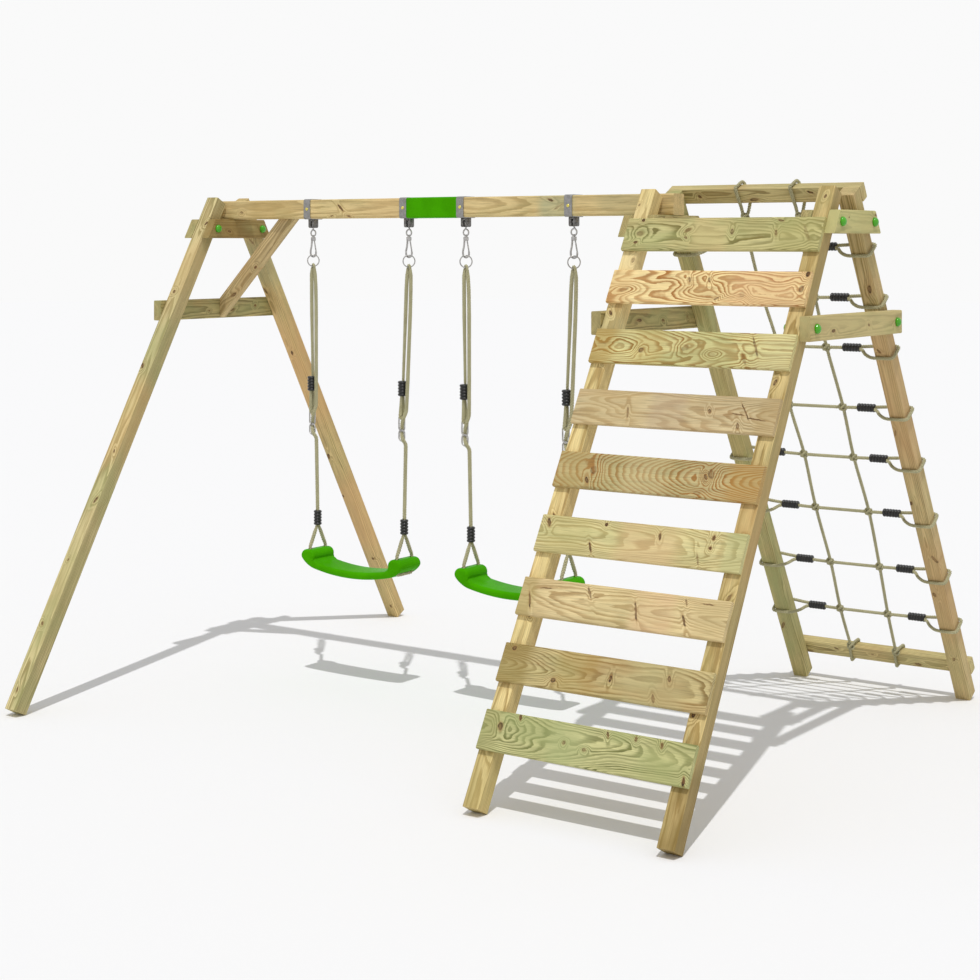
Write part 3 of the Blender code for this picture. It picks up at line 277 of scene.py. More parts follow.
def pine(name, axes, place, look, tones, knots, seed, stains=(), sides=0.0):
    """Sawn pressure-treated pine: growth rings, knots, fibre and the treatment's green stain.

    axes turns X to the grain, Y out of the seen face and Z across it. tones is early wood, late
    wood, strength of the figure, depth of the pith behind the face, green and brown shares, and
    may add how steeply the pith runs out of the face and how far the trunk wanders in metres.
    """
    early, late, figure, pith, green, brown = tones[:6]
    tilt, wander_width = tones[6:] or (0.012, 0.014)
    nodes = Finish(name, Roughness=0.74, IOR=1.5, Specular_IOR_Level=0.35)
    maths, ease, mix = nodes.maths, nodes.ease, nodes.mix
    local = nodes.moved(nodes.where, place, turn=axes.to_euler("XYZ"), kind="TEXTURE")

    def streaks(shifts, squeeze, detail, roughness=0.5, scale=1.0, output="Fac"):
        """Noise drawn out along the grain, at a place of its own for each seed."""
        spot = nodes.moved(local, [seed * shift for shift in shifts], squeeze)
        return nodes.noise(spot, scale, detail, roughness, output)

    # Knots are never quite oval: 3 mm of ripple over 15 mm
    ripple = nodes.noise(local, 65.0, 1.0, output="Color")
    rippled = nodes.vectors("MULTIPLY_ADD", ripple, (0.006, 0.0, 0.006), local)
    nearest = shade = halo = None
    for along, across, half_length, half_width, turn, dark in knots:
        spot = nodes.moved(rippled, (along + 0.003, 0.0, across + 0.003),
                           (half_length, 0.4, half_width), (0.0, turn, 0.0), "TEXTURE")
        away = nodes.vectors("LENGTH", spot, output="Value")
        tone = ease(away, 1.3, 1.9, dark, 0.0)
        # Round knots push the rings aside, thin spikes and cracks hardly do
        thin = min(half_length, half_width) / max(half_length, half_width)
        push = ease(away, 0.6, 5.0, min(1.0, 1.6 * thin), 0.0)
        nearest = away if nearest is None else maths("MINIMUM", nearest, away)
        shade = tone if shade is None else maths("MAXIMUM", shade, tone)
        halo = push if halo is None else maths("ADD", halo, push)

    # Distance from the pith, which lies behind the face and is pushed aside by knots
    tilted = nodes.moved(local, turn=(0.0, 0.0, tilt))
    offset = nodes.vectors("MULTIPLY_ADD", tilted, (0.0, 1.0, 1.0),
                           (0.0, pith, 0.012 * math.sin(seed * 9.0)))
    distance = nodes.vectors("LENGTH", offset, output="Value")
    # The trunk wanders slowly: 0.55 m along the grain, 0.12 m across it
    wander = streaks((7.3, 3.1, 5.7), (1.85, 8.0, 8.5), 1.6, 0.45)
    bent = maths("MULTIPLY_ADD", wander, 2.0 * wander_width, distance)
    pushed = maths("MULTIPLY_ADD", halo, 0.016, bent)
    # Ragged rings: 2 mm of feathering, drawn out six times along the grain
    feather = streaks((1.9, 4.1, 2.3), (11.0, 66.0, 66.0), 3.0, 0.6)
    ragged = maths("MULTIPLY_ADD", feather, 0.0042, pushed)
    turns = maths("DIVIDE", ragged, look.ring_spacing)
    rings = nodes.ramp(maths("FRACT", turns),
                       (0.0, 0.0), (0.38, 0.10), (0.68, 0.92), (0.92, 1.0), (1.0, 0.04))
    # Year to year, the late wood is broad or faint
    years = nodes.add("TexNoise", {"W": maths("ADD", turns, seed), "Scale": 0.35, "Detail": 2.0},
                      noise_dimensions="1D").outputs["Fac"]
    contrast = ease(years, 0.32, 0.62, 0.62 * figure, min(1.0, 1.5 * figure))
    strength = maths("MULTIPLY", rings, contrast)
    wood = mix(strength, linear_colour(early), linear_colour(late))

    # Fibre streaks, 30 times longer than wide
    width = look.fibre_width
    fibres = streaks((1.0, 1.0, 1.0), (0.033 / width, 1.0 / width, 1.0 / width), 3.0, 0.65, 0.5)
    wood = nodes.shaded(wood, fibres, (0.25, 0.62), (0.50, 0.97), (0.78, 1.22))
    # Bands of lighter and darker growth, 45 mm wide and a metre long
    bands = streaks((2.1, 6.3, 1.0), (1.1, 22.0, 22.0), 3.0)
    wood = nodes.shaded(wood, bands, (0.30, 0.86), (0.50, 1.0), (0.70, 1.10))
    # Stain in patches a hand wide
    patches = streaks((3.7, 1.0, 2.9), (4.5, 11.0, 11.0), 3.0, output="Color")
    patch = nodes.add("SeparateColor", {"Color": patches}).outputs
    wood = mix(ease(patch["Red"], 0.42, 0.66, 0.25 * green, green), wood, look.stain)
    wood = mix(ease(patch["Green"], 0.46, 0.70, 0.0, brown), wood, look.heart)
    # Broad tones of single lengths of the timber
    along = nodes.add("SeparateXYZ", {"Vector": rippled}).outputs["X"]
    for middle, half, tint, share in stains:
        off = maths("ABSOLUTE", maths("SUBTRACT", along, middle))
        mottled = maths("MULTIPLY", ease(off, 0.6 * half, 1.3 * half, share, 0.0),
                        ease(patch["Blue"], 0.2, 0.6, 0.35, 1.0))
        wood = mix(mottled, wood, linear_colour(tint))
    # Painted shade: the side faces at the edges of a post's section turn towards the side colour
    if sides:
        across = nodes.add("SeparateXYZ", {"Vector": local}).outputs["Z"]
        edge = ease(maths("ABSOLUTE", across), 0.0344, 0.0349, 0.0, sides)
        wood = mix(edge, wood, look.side)
    # A knot: resin round it, brown wood in it and a dark, broken rim of bark
    rim = maths("MULTIPLY", ease(nearest, 0.35, 0.9), ease(nearest, 0.95, 1.35, 1.0, 0.0))
    rim = maths("MULTIPLY", rim, ease(nodes.red_of(ripple), 0.40, 0.58, 0.15, 1.0))
    for part, tint in ((ease(nearest, 1.0, 3.2, 0.45, 0.0), look.heart),
                       (ease(nearest, 0.85, 1.25, 1.0, 0.0), look.knot), (rim, look.knot_rim)):
        wood = mix(maths("MULTIPLY", part, shade), wood, tint)
    nodes.set(Base_Color=wood)
    # Sawn faces stand about 0.3 mm proud at the late wood
    nodes.bump(maths("MULTIPLY_ADD", fibres, 0.7, strength), 0.0003, 0.8)
    return nodes.material


def moulded_plastic(name, tone, roughness, grain, shine):
    """Moulded plastic: even colour, soft gloss and the mould's fine grain."""
    nodes = Finish(name, IOR=1.5, Specular_IOR_Level=shine)
    cloud = nodes.noise(nodes.where, 9.0, 2.0)
    deep = (*(channel * 0.86 for channel in tone[:3]), 1.0)
    fine = nodes.noise(nodes.where, 1.0 / grain, 2.0)
    nodes.set(Base_Color=nodes.mix(nodes.ease(cloud, 0.35, 0.65), deep, tone),
              Roughness=nodes.ease(fine, 0.3, 0.7, roughness - 0.05, roughness + 0.08))
    nodes.bump(fine, 0.00008)
    return nodes.material


def galvanised(name, bright, dull, spangle, roughness):
    """Galvanised steel: a grey metal with patches of crystal and a half-dull shine."""
    nodes = Finish(name, Metallic=1.0)
    share = nodes.red_of(nodes.add("TexVoronoi", {"Vector": nodes.where, "Scale": 1.0 / spangle})
                         .outputs["Color"])
    nodes.set(Base_Color=nodes.mix(share, dull, bright),
              Roughness=nodes.ease(share, 0.0, 1.0, roughness - 0.06, roughness + 0.10))
    nodes.bump(nodes.noise(nodes.where, 600.0, 2.0), 0.00005)
    return nodes.material


def laid_rope(name, look):
    """Laid synthetic hemp: each strand's yarns run slanted to it, with painted shade in the grooves
    between.
    """
    nodes = Finish(name, Roughness=0.92, IOR=1.5, Specular_IOR_Level=0.2)
    # The strand's own map holds metres along it and turns round it
    strand = nodes.add("UVMap", {}, uv_map="UVMap").outputs["UV"]
    parts = nodes.add("SeparateXYZ", {"Vector": strand}).outputs
    slant = nodes.maths("MULTIPLY", parts["X"], 0.35 / look.yarn)
    yarn = nodes.maths("PINGPONG", nodes.maths("MULTIPLY_ADD", parts["Y"], 9.0, slant), 0.5)
    # The grooves between the yarns: pressed in by the bump, and darkened with painted shade in the
    # colour
    hollow = nodes.ease(yarn, 0.0, 0.34)
    fuzz = nodes.noise(nodes.where, 420.0, 3.0)
    weather = nodes.noise(nodes.where, 14.0, 2.0)
    # Painted shade: the hollow colour darkens the grooves between the yarns
    tint = nodes.mix(hollow, look.hollow, look.fibre)
    tint = nodes.shaded(tint, fuzz, (0.2, 0.78), (0.8, 1.08))
    nodes.set(Base_Color=nodes.shaded(tint, weather, (0.3, 0.92), (0.7, 1.04)))
    nodes.bump(nodes.maths("MULTIPLY_ADD", fuzz, 0.5, hollow), 0.0004)
    return nodes.material


def finishes(context):
    """The shared finishes, made once and found by their names afterwards."""
    scene = context.scene
    plastic, metal = scene.swing_plastic, scene.swing_metal
    recipes = {
        "moulded_green_polyethylene": (moulded_plastic, plastic.green, 0.30, plastic.grain, 0.01),
        "polished_green_cap": (moulded_plastic, plastic.green, 0.16, plastic.grain, 0.5),
        "moulded_black_polypropylene": (moulded_plastic, plastic.black, 0.30, plastic.grain, 0.6),
        "galvanised_steel_fitting":
            (galvanised, metal.zinc, metal.zinc_dull, metal.spangle, 0.34),
        "bright_plated_wire": (galvanised, metal.wire, metal.zinc, metal.spangle, 0.30),
        "dark_steel_block": (galvanised, metal.steel, metal.steel_dull, metal.spangle, 0.45),
        "yellow_passivated_steel":
            (galvanised, metal.yellow_zinc, metal.yellow_zinc, metal.spangle, 0.30),
        "laid_hemp_rope": (laid_rope, scene.swing_rope),
    }
    return {name: bpy.data.materials.get(name) or make(name, *settings)
            for name, (make, *settings) in recipes.items()}


# Geometry


def close_up(bm):
    """Merges doubles and turns the faces of a closed shape outwards."""
    bmesh.ops.remove_doubles(bm, verts=bm.verts, dist=1e-6)
    bmesh.ops.recalc_face_normals(bm, faces=bm.faces)
    if bm.calc_volume(signed=True) < 0.0:
        bmesh.ops.reverse_faces(bm, faces=bm.faces)
    return bm


def as_mesh(bm, name="shape"):
    """A shape as a mesh; the shape itself is freed."""
    mesh = bpy.data.meshes.new(name)
    bm.to_mesh(mesh)
    bm.free()
    return mesh


def as_shape(meshes):
    """Meshes as one shape, with their maps; the meshes themselves are removed."""
    bm = bmesh.new()
    for mesh in meshes:
        bm.from_mesh(mesh)
        bpy.data.meshes.remove(mesh)
    return bm


def gather(shapes):
    """Puts several closed shapes into one."""
    return as_shape([as_mesh(close_up(shape)) for shape in shapes])


def join_meshes(meshes):
    """Puts meshes into one and keeps their maps."""
    return as_mesh(as_shape(meshes))


def new_piece(name, shape, body, material, replaced=(), sharp=40.0):
    """Makes a finished object with its material, ties it to its body and hides the CAD nodes that
    it replaces.
    """
    mesh = as_mesh(shape, name) if isinstance(shape, bmesh.types.BMesh) else shape
    mesh.name = name
    mesh.materials.clear()
    mesh.materials.append(material)
    mesh.shade_smooth()
    mesh.set_sharp_from_angle(angle=math.radians(sharp))
    piece = bpy.data.objects.new(name, mesh)
    bpy.context.scene.collection.objects.link(piece)
    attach(piece, body)
    if replaced:
        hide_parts(*replaced)


def placed(spot, axis="X", angle=0.0):
    """A turn about an axis, then a move to a spot."""
    return Matrix.Translation(spot) @ Matrix.Rotation(angle, 4, axis)


def moved(bm, step):
    bmesh.ops.translate(bm, verts=bm.verts, vec=step)
    return bm


def ease_edges(bm, edges, radius, segments):
    bmesh.ops.bevel(bm, geom=edges, offset=radius, offset_type="OFFSET", segments=segments,
                    profile=0.5, affect="EDGES", material=-1)


def turn_profile(points, steps, place=None):
    """Turns a profile of (radius, height) points about Z; ends on the axis close up."""
    bm = bmesh.new()
    verts = [bm.verts.new((radius, 0.0, height)) for radius, height in points]
    edges = [bm.edges.new(pair) for pair in zip(verts, verts[1:])]
    bmesh.ops.spin(bm, geom=verts + edges, cent=(0.0, 0.0, 0.0), axis=AXIS_Z,
                   dvec=(0.0, 0.0, 0.0), angle=math.tau, steps=steps, use_merge=True)
    close_up(bm)
    if place:
        bm.transform(place)
    return bm


def rounded_block(size, radius, segments, centre=(0.0, 0.0, 0.0), chosen=None):
    """A box with rounded edges; chosen picks the edges by their direction and middle."""
    bm = bmesh.new()
    bmesh.ops.create_cube(bm, size=1.0)
    bmesh.ops.scale(bm, vec=size, verts=bm.verts)
    ease_edges(bm, [edge for edge in bm.edges if not chosen or chosen(edge)], radius, segments)
    return moved(bm, centre)


def runs_along_x(edge):
    step = edge.verts[1].co - edge.verts[0].co
    return abs(step.x) > 0.999 * step.length


def wires(lines, radius, sides=3, closed=False, scales=None):
    """Round bars or cords along lines of points, as one mesh whose map holds metres along."""
    curve = bpy.data.curves.new("wire", "CURVE")
    curve.dimensions = "3D"
    curve.bevel_depth = radius
    curve.bevel_resolution = sides
    curve.use_fill_caps = True
    for line in lines:
        spline = curve.splines.new("POLY")
        spline.points.add(len(line) - 1)
        spline.points.foreach_set("co", [c for point in line for c in (*point, 1.0)])
        if scales:
            spline.points.foreach_set("radius", scales)
        spline.use_cyclic_u = closed
    guide = bpy.data.objects.new("wire", curve)
    bpy.context.scene.collection.objects.link(guide)
    shape = guide.evaluated_get(bpy.context.evaluated_depsgraph_get())
    mesh = bpy.data.meshes.new_from_object(shape)
    bpy.data.objects.remove(guide, do_unlink=True)
    bpy.data.curves.remove(curve)
    return mesh


def wire_shape(line, radius, sides=4, closed=False):
    return as_shape([wires([line], radius, sides, closed)])


def arc(centre, radius, start, end, steps, across=AXIS_X, up=AXIS_Z):
    """Points on a round arc in the plane of two directions; angles in degrees."""
    points = []
    for step in range(steps + 1):
        angle = math.radians(start + (end - start) * step / steps)
        points.append(Vector(centre) + Vector(across) * radius * math.cos(angle)
                      + Vector(up) * radius * math.sin(angle))
    return points


def smooth_line(points, step, closed=False):
    """Points every step along a smooth curve through the given points, and their places on it.

    The second list gives each new point's place, counted in given points.
    """
    count = len(points)
    spans = count if closed else count - 1
    line, places = [], []
    for span in range(spans):
        near, far = points[span], points[(span + 1) % count]
        before = points[span - 1] if closed or span else near * 2 - far
        after = points[(span + 2) % count] if closed or span + 2 < count else far * 2 - near
        run = (far - near).length
        # Tangents no longer than the shorter of two neighbouring spans, so tight bends stay tight
        tangent_in = (far - before).normalized() * min(run, (near - before).length or run)
        tangent_out = (after - near).normalized() * min(run, (after - far).length or run)
        parts = max(1, round(run / step))
        for part in range(parts):
            t = part / parts
            line.append(near * (2 * t ** 3 - 3 * t ** 2 + 1)
                        + tangent_in * (t ** 3 - 2 * t ** 2 + t)
                        + far * (3 * t ** 2 - 2 * t ** 3) + tangent_out * (t ** 3 - t ** 2))
            places.append(span + t)
    if not closed:
        line.append(points[-1].copy())
        places.append(float(spans))
    return line, places


def lay_strands(points, radius, lay, radii=None, closed=False, sides=1):
    """A three-strand laid rope along a smooth line through the points.

    Three strands that touch fill a circle of the rope's radius when each has 0.464 of it.
    """
    line, places = smooth_line(points, lay / 8, closed)
    thickness = 0.464
    count = len(line)
    scales = [1.0] * count
    if radii:
        scales = [float(np.interp(place, range(len(radii)), radii)) / radius for place in places]
    tangents = [(line[(i + 1) % count if closed else min(i + 1, count - 1)]
                 - line[i - 1 if closed or i else 0]).normalized() for i in range(count)]
    normal = tangents[0].orthogonal().normalized()
    normals = [normal]
    for before, after in zip(tangents, tangents[1:]):
        normal = before.rotation_difference(after) @ normal
        normal = (normal - after * normal.dot(after)).normalized()
        normals.append(normal)
    steps = [0.0]
    for near, far in zip(line, line[1:]):
        steps.append(steps[-1] + (far - near).length)
    total = steps[-1] + ((line[0] - line[-1]).length if closed else 0.0)
    twist = math.tau / lay
    if closed:
        # A whole number of thirds of a turn brings each strand onto the next at the join
        end = tangents[-1].rotation_difference(tangents[0]) @ normals[-1]
        drift = math.atan2(end.cross(normals[0]).dot(tangents[0]), end.dot(normals[0]))
        whole = round((total * twist - drift) / math.tau)
        twist = (whole * math.tau + drift) / total
    lines = []
    for strand in range(3):
        run = []
        for point, tangent, normal, place, scale in zip(line, tangents, normals, steps, scales):
            angle = place * twist + strand * math.tau / 3
            side = tangent.cross(normal)
            reach = radius * scale * (1.0 - thickness)
            run.append(point + (normal * math.cos(angle) + side * math.sin(angle)) * reach)
        lines.append(run)
    mesh = wires(lines, radius * thickness, sides, closed, scales)
    layer = mesh.uv_layers.active
    values = np.zeros(len(layer.data) * 2, np.float32)
    layer.data.foreach_get("uv", values)
    values = values.reshape(-1, 2)
    values[:, 0] *= total
    layer.data.foreach_set("uv", values.ravel())
    return mesh


def band(width, inner, corner, thickness, segments=8):
    """A closed square band with rounded corners about X, its outer rims eased."""
    shells = []
    for extra in (0.0, thickness):
        side = 2 * (inner + extra)
        bm = rounded_block((width, side, side), corner + extra, segments, chosen=runs_along_x)
        ends = [face for face in bm.faces if len(face.verts) > 4]
        bmesh.ops.delete(bm, geom=ends, context="FACES")
        shells.append(as_mesh(bm))
    whole = as_shape(shells)
    for end in (-1, 1):
        rim = [edge for edge in whole.edges if edge.is_boundary
               and all(vert.co.x * end > 0 for vert in edge.verts)]
        bmesh.ops.bridge_loops(whole, edges=rim)
    close_up(whole)
    rims = [edge for edge in whole.edges
            if all(abs(abs(vert.co.x) - width / 2) < 1e-6 for vert in edge.verts)
            and any(abs(face.normal.x) < 0.1 for face in edge.link_faces)
            and any(abs(face.normal.x) > 0.9 for face in edge.link_faces)]
    ease_edges(whole, rims, min(0.0007, thickness / 3), 2)
    return whole


# Where things are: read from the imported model


def middle_of(node):
    low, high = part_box(node)
    return (low + high) / 2


def pivot_of(number):
    """The middle of a swing's hinge line."""
    places = {joint["name"]: joint["pos_m"] for joint in frame["joints"]}
    return Vector(places[f"swing_{number}_hinge"])


def hangers():
    """Each hanger's swing, name ending, side (-1 left, 1 right) and place on the hinge line."""
    for number in SWINGS:
        for side, way in (("left", -1), ("right", 1)):
            pivot = pivot_of(number)
            pivot.x = middle_of(f"hanger_{number}_{side}").x
            yield number, f"{number}_{side}", way, pivot


def below(pivot):
    """A function from (x, drop, y) under a hinge line to the part's frame."""
    return lambda x, drop, y=0.0: pivot + Vector((x, y, -drop))


def sloped(side):
    """Up the slope of a leg, and out of its outer face; side is -1 in front, 1 behind."""
    return (Vector((0.0, -side * LEAN_SIN, LEAN_COS)), Vector((0.0, side * LEAN_COS, LEAN_SIN)))


def scattered_knots(name, reach, half_width, spacing, dark=0.9):
    """Small knots about every so far along a timber, the same each time for one name."""
    pick = random.Random(name)
    knots = []
    along = -reach + pick.uniform(0.05, spacing)
    while along < reach - 0.04:
        half = pick.uniform(0.003, 0.007)
        knots.append((along, pick.uniform(-0.8, 0.8) * half_width, half * pick.uniform(1.2, 3.2),
                      half, pick.uniform(-0.6, 0.6), dark * pick.uniform(0.5, 1.0)))
        along += spacing * pick.uniform(0.6, 1.5)
    return knots


# Boards from the top down: early wood, late wood, figure, pith depth, green and brown, then the
# pith's tilt and wander. Their knots: share along from the left, share down, half length and half
# width in mm, turn and darkness. Their broad tones: share along, half length as a share, colour
# and strength
BOARD_LOOKS = (
    (("D8CC90", "74662C", 0.72, 0.06, 0.5, 0.15, 0.05, 0.04),
     ((0.08, 0.1, 6, 5, 0.0, 1.0), (0.08, 0.5, 14, 10, 0.0, 0.35), (0.07, 0.76, 8, 5, 0.3, 0.9),
      (0.33, 0.4, 12, 7, 0.5, 0.45), (0.33, 0.62, 8, 4, -0.7, 0.5), (0.56, 0.45, 6, 11, 0.2, 0.5),
      (0.79, 0.13, 12, 4, -0.3, 0.6), (0.78, 0.48, 5, 12, 0.2, 0.5), (0.93, 0.5, 6, 30, 0.5, 0.2)),
     ((0.45, 0.1, "D8BE86", 0.4), (0.9, 0.12, "A9A363", 0.45))),
    (("F8DFA2", "A86A28", 0.8, 0.075, 0.05, 0.16, -0.1, 0.055),
     ((0.33, 0.5, 22, 12, 0.0, 0.0), (0.56, 0.6, 20, 10, 0.0, 0.0),
      (0.69, 0.7, 10, 13, 0.6, 0.15), (0.86, 0.5, 26, 12, 0.0, 0.0),
      (0.985, 0.1, 7, 11, 0.0, 1.0), (0.41, 0.3, 4, 10, 0.4, 0.45), (0.51, 0.3, 4, 11, 0.3, 0.5),
      (0.08, 0.6, 20, 9, 0.3, 0.2), (0.97, 0.52, 9, 13, 0.0, 0.45), (0.57, 0.82, 10, 3, 0.6, 0.5)),
     ((0.8, 0.18, "DDAE82", 0.35), (0.05, 0.06, "D9B57A", 0.4))),
    (("E4DA9A", "986820", 0.74, 0.065, 0.42, 0.18, 0.07, 0.045),
     ((0.26, 0.6, 10, 9, 0.7, 0.55), (0.48, 0.5, 15, 11, 0.5, 0.25),
      (0.82, 0.4, 4, 40, 0.45, 0.5), (0.78, 0.75, 5, 22, 0.5, 0.35),
      (0.62, 0.66, 12, 7, 0.0, 0.15), (0.05, 0.5, 18, 12, 0.0, 0.1)),
     ((0.02, 0.1, "A8843C", 0.6), (0.3, 0.08, "B99C58", 0.35), (0.92, 0.09, "D9D09A", 0.4))),
    (("D2BE92", "956E3A", 0.42, 0.09, 0.06, 0.22, -0.05, 0.04),
     ((0.28, 0.62, 4, 20, 0.2, 0.5), (0.68, 0.45, 5, 8, 0.5, 0.7), (0.85, 0.42, 2.5, 34, 0.6, 0.7),
      (0.91, 0.6, 34, 2.2, -0.12, 0.8), (0.82, 0.5, 24, 2, -0.1, 0.7),
      (0.83, 0.8, 5, 12, 0.3, 0.5), (0.1, 0.5, 30, 10, 0.0, 0.0)),
     ((0.48, 0.09, "B79F84", 0.4), (0.2, 0.15, "C7AE78", 0.35), (0.97, 0.06, "A88C58", 0.5))),
    (("C3B280", "98601A", 1.00, 0.1, 0.22, 0.12, -0.19, 0.016),
     ((0.19, 0.48, 12, 16, 0.5, 0.35), (0.17, 0.76, 5, 13, 0.5, 0.8),
      (0.765, 0.35, 11, 16, 0.4, 0.4), (0.74, 0.42, 5, 9, 0.6, 0.7), (0.72, 0.86, 14, 6, 0.0, 0.2),
      (0.74, 0.5, 9, 12, 0.4, 0.2)),
     ((0.02, 0.14, "B0995E", 0.5), (0.95, 0.1, "B58740", 0.45), (0.45, 0.12, "CFC08E", 0.35))),
    (("E2D49A", "98783A", 0.52, 0.07, 0.36, 0.08, 0.05, 0.035),
     ((0.04, 0.22, 7, 16, 0.4, 0.8), (0.33, 0.14, 5, 6, 0.0, 1.0),
      (0.28, 0.75, 3.5, 20, 0.45, 0.85),
      (0.6, 0.3, 5, 13, 0.2, 0.8), (0.85, 0.2, 6, 9, 0.0, 0.95), (0.845, 0.46, 5, 6, 0.0, 1.0),
      (0.8, 0.75, 3, 22, 0.4, 0.4)),
     ((0.55, 0.15, "DDB98A", 0.45), (0.15, 0.12, "AFA768", 0.35), (0.97, 0.06, "B4B57E", 0.5))),
    (("E4CE9A", "98703A", 0.46, 0.085, 0.16, 0.16, -0.04, 0.035),
     ((0.055, 0.6, 4, 30, 0.35, 0.7), (0.12, 0.26, 26, 2.2, 0.05, 0.6),
      (0.34, 0.25, 4, 22, 0.5, 0.5), (0.37, 0.34, 14, 2, 0.3, 0.4),
      (0.58, 0.55, 3.5, 34, 0.35, 0.65),
      (0.81, 0.62, 4, 20, 0.5, 0.75), (0.9, 0.16, 20, 2.2, 0.0, 0.7), (0.8, 0.18, 3, 12, 0.4, 0.5)),
     ((0.02, 0.06, "A79458", 0.55), (0.66, 0.1, "DDB48C", 0.4), (0.93, 0.08, "C5AE7C", 0.45))),
    (("D0BC86", "7E5E26", 0.56, 0.06, 0.28, 0.4, 0.06, 0.04),
     ((0.05, 0.14, 8, 8, 0.0, 0.7), (0.28, 0.76, 9, 8, 0.0, 0.7), (0.545, 0.52, 5, 11, 0.0, 0.85),
      (0.81, 0.32, 6, 11, 0.3, 0.6), (0.76, 0.82, 5, 14, 0.4, 0.45), (0.3, 0.35, 30, 10, 0.0, 0.0)),
     ((0.05, 0.1, "8C7434", 0.65), (0.38, 0.1, "A5873F", 0.4), (0.75, 0.15, "B9AD7C", 0.45))),
    (("D2CC92", "66662E", 0.8, 0.06, 0.62, 0.0, 0.08, 0.045),
     ((0.09, 0.38, 9, 14, 0.3, 0.7), (0.175, 0.1, 5, 9, 0.3, 0.9), (0.3, 0.44, 34, 16, 0.0, 0.0),
      (0.41, 0.5, 6, 6, 0.0, 0.5), (0.51, 0.57, 7, 5, 0.0, 0.45), (0.6, 0.14, 4, 10, 0.3, 0.75),
      (0.73, 0.12, 5, 8, 0.2, 0.65), (0.85, 0.17, 5, 9, 0.2, 0.75), (0.98, 0.86, 5, 14, 0.2, 1.0)),
     ((0.44, 0.1, "B9BD86", 0.35), (0.02, 0.07, "98935A", 0.45), (0.9, 0.1, "A3A468", 0.35))),
)

# Early wood, late wood, figure, pith depth, green and brown of the other timbers
POST_TONES = {
    "left_front": ("E2D09A", "85703A", 0.62, 0.045, 0.45, 0.15),
    "left_rear": ("DCC086", "8F7440", 0.55, 0.05, 0.22, 0.2),
    "middle_front": ("F0D898", "A17E3E", 0.5, 0.06, 0.12, 0.15),
    "middle_rear": ("CCBB82", "7F6F38", 0.58, 0.045, 0.55, 0.15),
    "right_front": ("D9C084", "98793A", 0.55, 0.05, 0.25, 0.2),
    "right_rear": ("D2B986", "8A6F3B", 0.55, 0.05, 0.25, 0.25),
}
# Broad tones of the legs: metres up from the middle, half length, colour and strength
POST_STAINS = {
    "left_front": ((0.85, 0.2, "DDBE86", 0.5), (0.1, 0.22, "D3AC70", 0.45),
                   (-0.75, 0.25, "A6A368", 0.35), (0.45, 0.16, "9FA26A", 0.35)),
    "left_rear": ((0.3, 0.3, "D8A870", 0.5), (-0.6, 0.25, "D6A872", 0.45),
                  (0.95, 0.14, "9DA37A", 0.45)),
    "middle_front": ((-1.15, 0.18, "A49559", 0.6), (0.62, 0.1, "A8B78F", 0.3),
                     (0.98, 0.22, "F6E2AC", 0.5)),
    "middle_rear": ((0.2, 0.25, "B7A066", 0.4), (-0.85, 0.25, "9CA06A", 0.45)),
    "right_front": ((-1.16, 0.16, "7C6630", 0.85), (-0.1, 0.2, "D0A268", 0.4),
                    (0.95, 0.12, "A58A4C", 0.4)),
    "right_rear": ((0.35, 0.35, "C49B6C", 0.5), (-0.7, 0.3, "BE9868", 0.45),
                   (1.05, 0.12, "9C8A55", 0.4)),
}
# How much painted shade darkens a leg's side faces against its front
POST_SIDE_SHADES = {"left_front": 0.28, "right_front": 0.40}
BEAM_TONES = ("E6CC92", "A4854E", 0.46, 0.07, 0.22, 0.12)
BEAM_KNOTS = ((-0.875, -0.004, 19, 5, -0.75, 0.9), (-0.825, 0.036, 9, 4, -0.3, 0.7),
              (0.3, -0.026, 14, 4, -0.3, 0.8), (0.34, 0.005, 20, 3, 0.5, 0.35),
              (-1.5, 0.012, 8, 5, 0.0, 0.5), (-0.93, 0.034, 8, 3, 0.2, 0.5))
BEAM_STAINS = ((-1.3, 0.16, "B39455", 0.45), (0.33, 0.09, "9FAE8C", 0.55),
               (-0.55, 0.15, "E0BE84", 0.4), (0.68, 0.14, "A8A478", 0.35))
BAR_STAINS = {"left_upper_crossbar_right": ((0.0, 0.4, "8A6C34", 0.75),),
              "right_upper_crossbar_right": ((0.0, 0.4, "CCC686", 0.6),),
              "right_lower_crossbar": ((0.0, 0.5, "CDBB84", 0.6),)}
BAR_TONES = ("C2B078", "75663A", 0.58, 0.05, 0.4, 0.25)
BRACE_TONES = ("CFB684", "8A6F42", 0.5, 0.05, 0.1, 0.25)
RAIL_TONES = ("D8C78E", "836C3C", 0.55, 0.055, 0.25, 0.25)


def dress_timber(context, node, grain, out, tones, knots, seed, stains=(), sides=0.0):
    """Gives a CAD timber its own piece of wood."""
    axes = Matrix((grain, out, grain.cross(out))).transposed()
    material = pine(f"sawn_pine_{node}", axes, middle_of(node), context.scene.swing_timber, tones,
                    knots, seed, stains, sides)
    for slot in frame["nodes"][node].material_slots:
        slot.material = material


class SWINGSET_OT_legs(bpy.types.Operator):
    """Finish the six sloping legs as sawn pine"""

    bl_idname = "swing_set.legs"
    bl_label = "Legs"

    def execute(self, context):
        for index, (place, tones) in enumerate(POST_TONES.items()):
            node = f"{place}_leg"
            up, out = sloped(-1 if place.endswith("front") else 1)
            dress_timber(context, node, up, out, tones,
                         scattered_knots(node, 1.28, LEG_SECTION / 2, 0.30), 1.3 + 0.71 * index,
                         POST_STAINS[place], POST_SIDE_SHADES.get(place, 0.0))
        return {"FINISHED"}


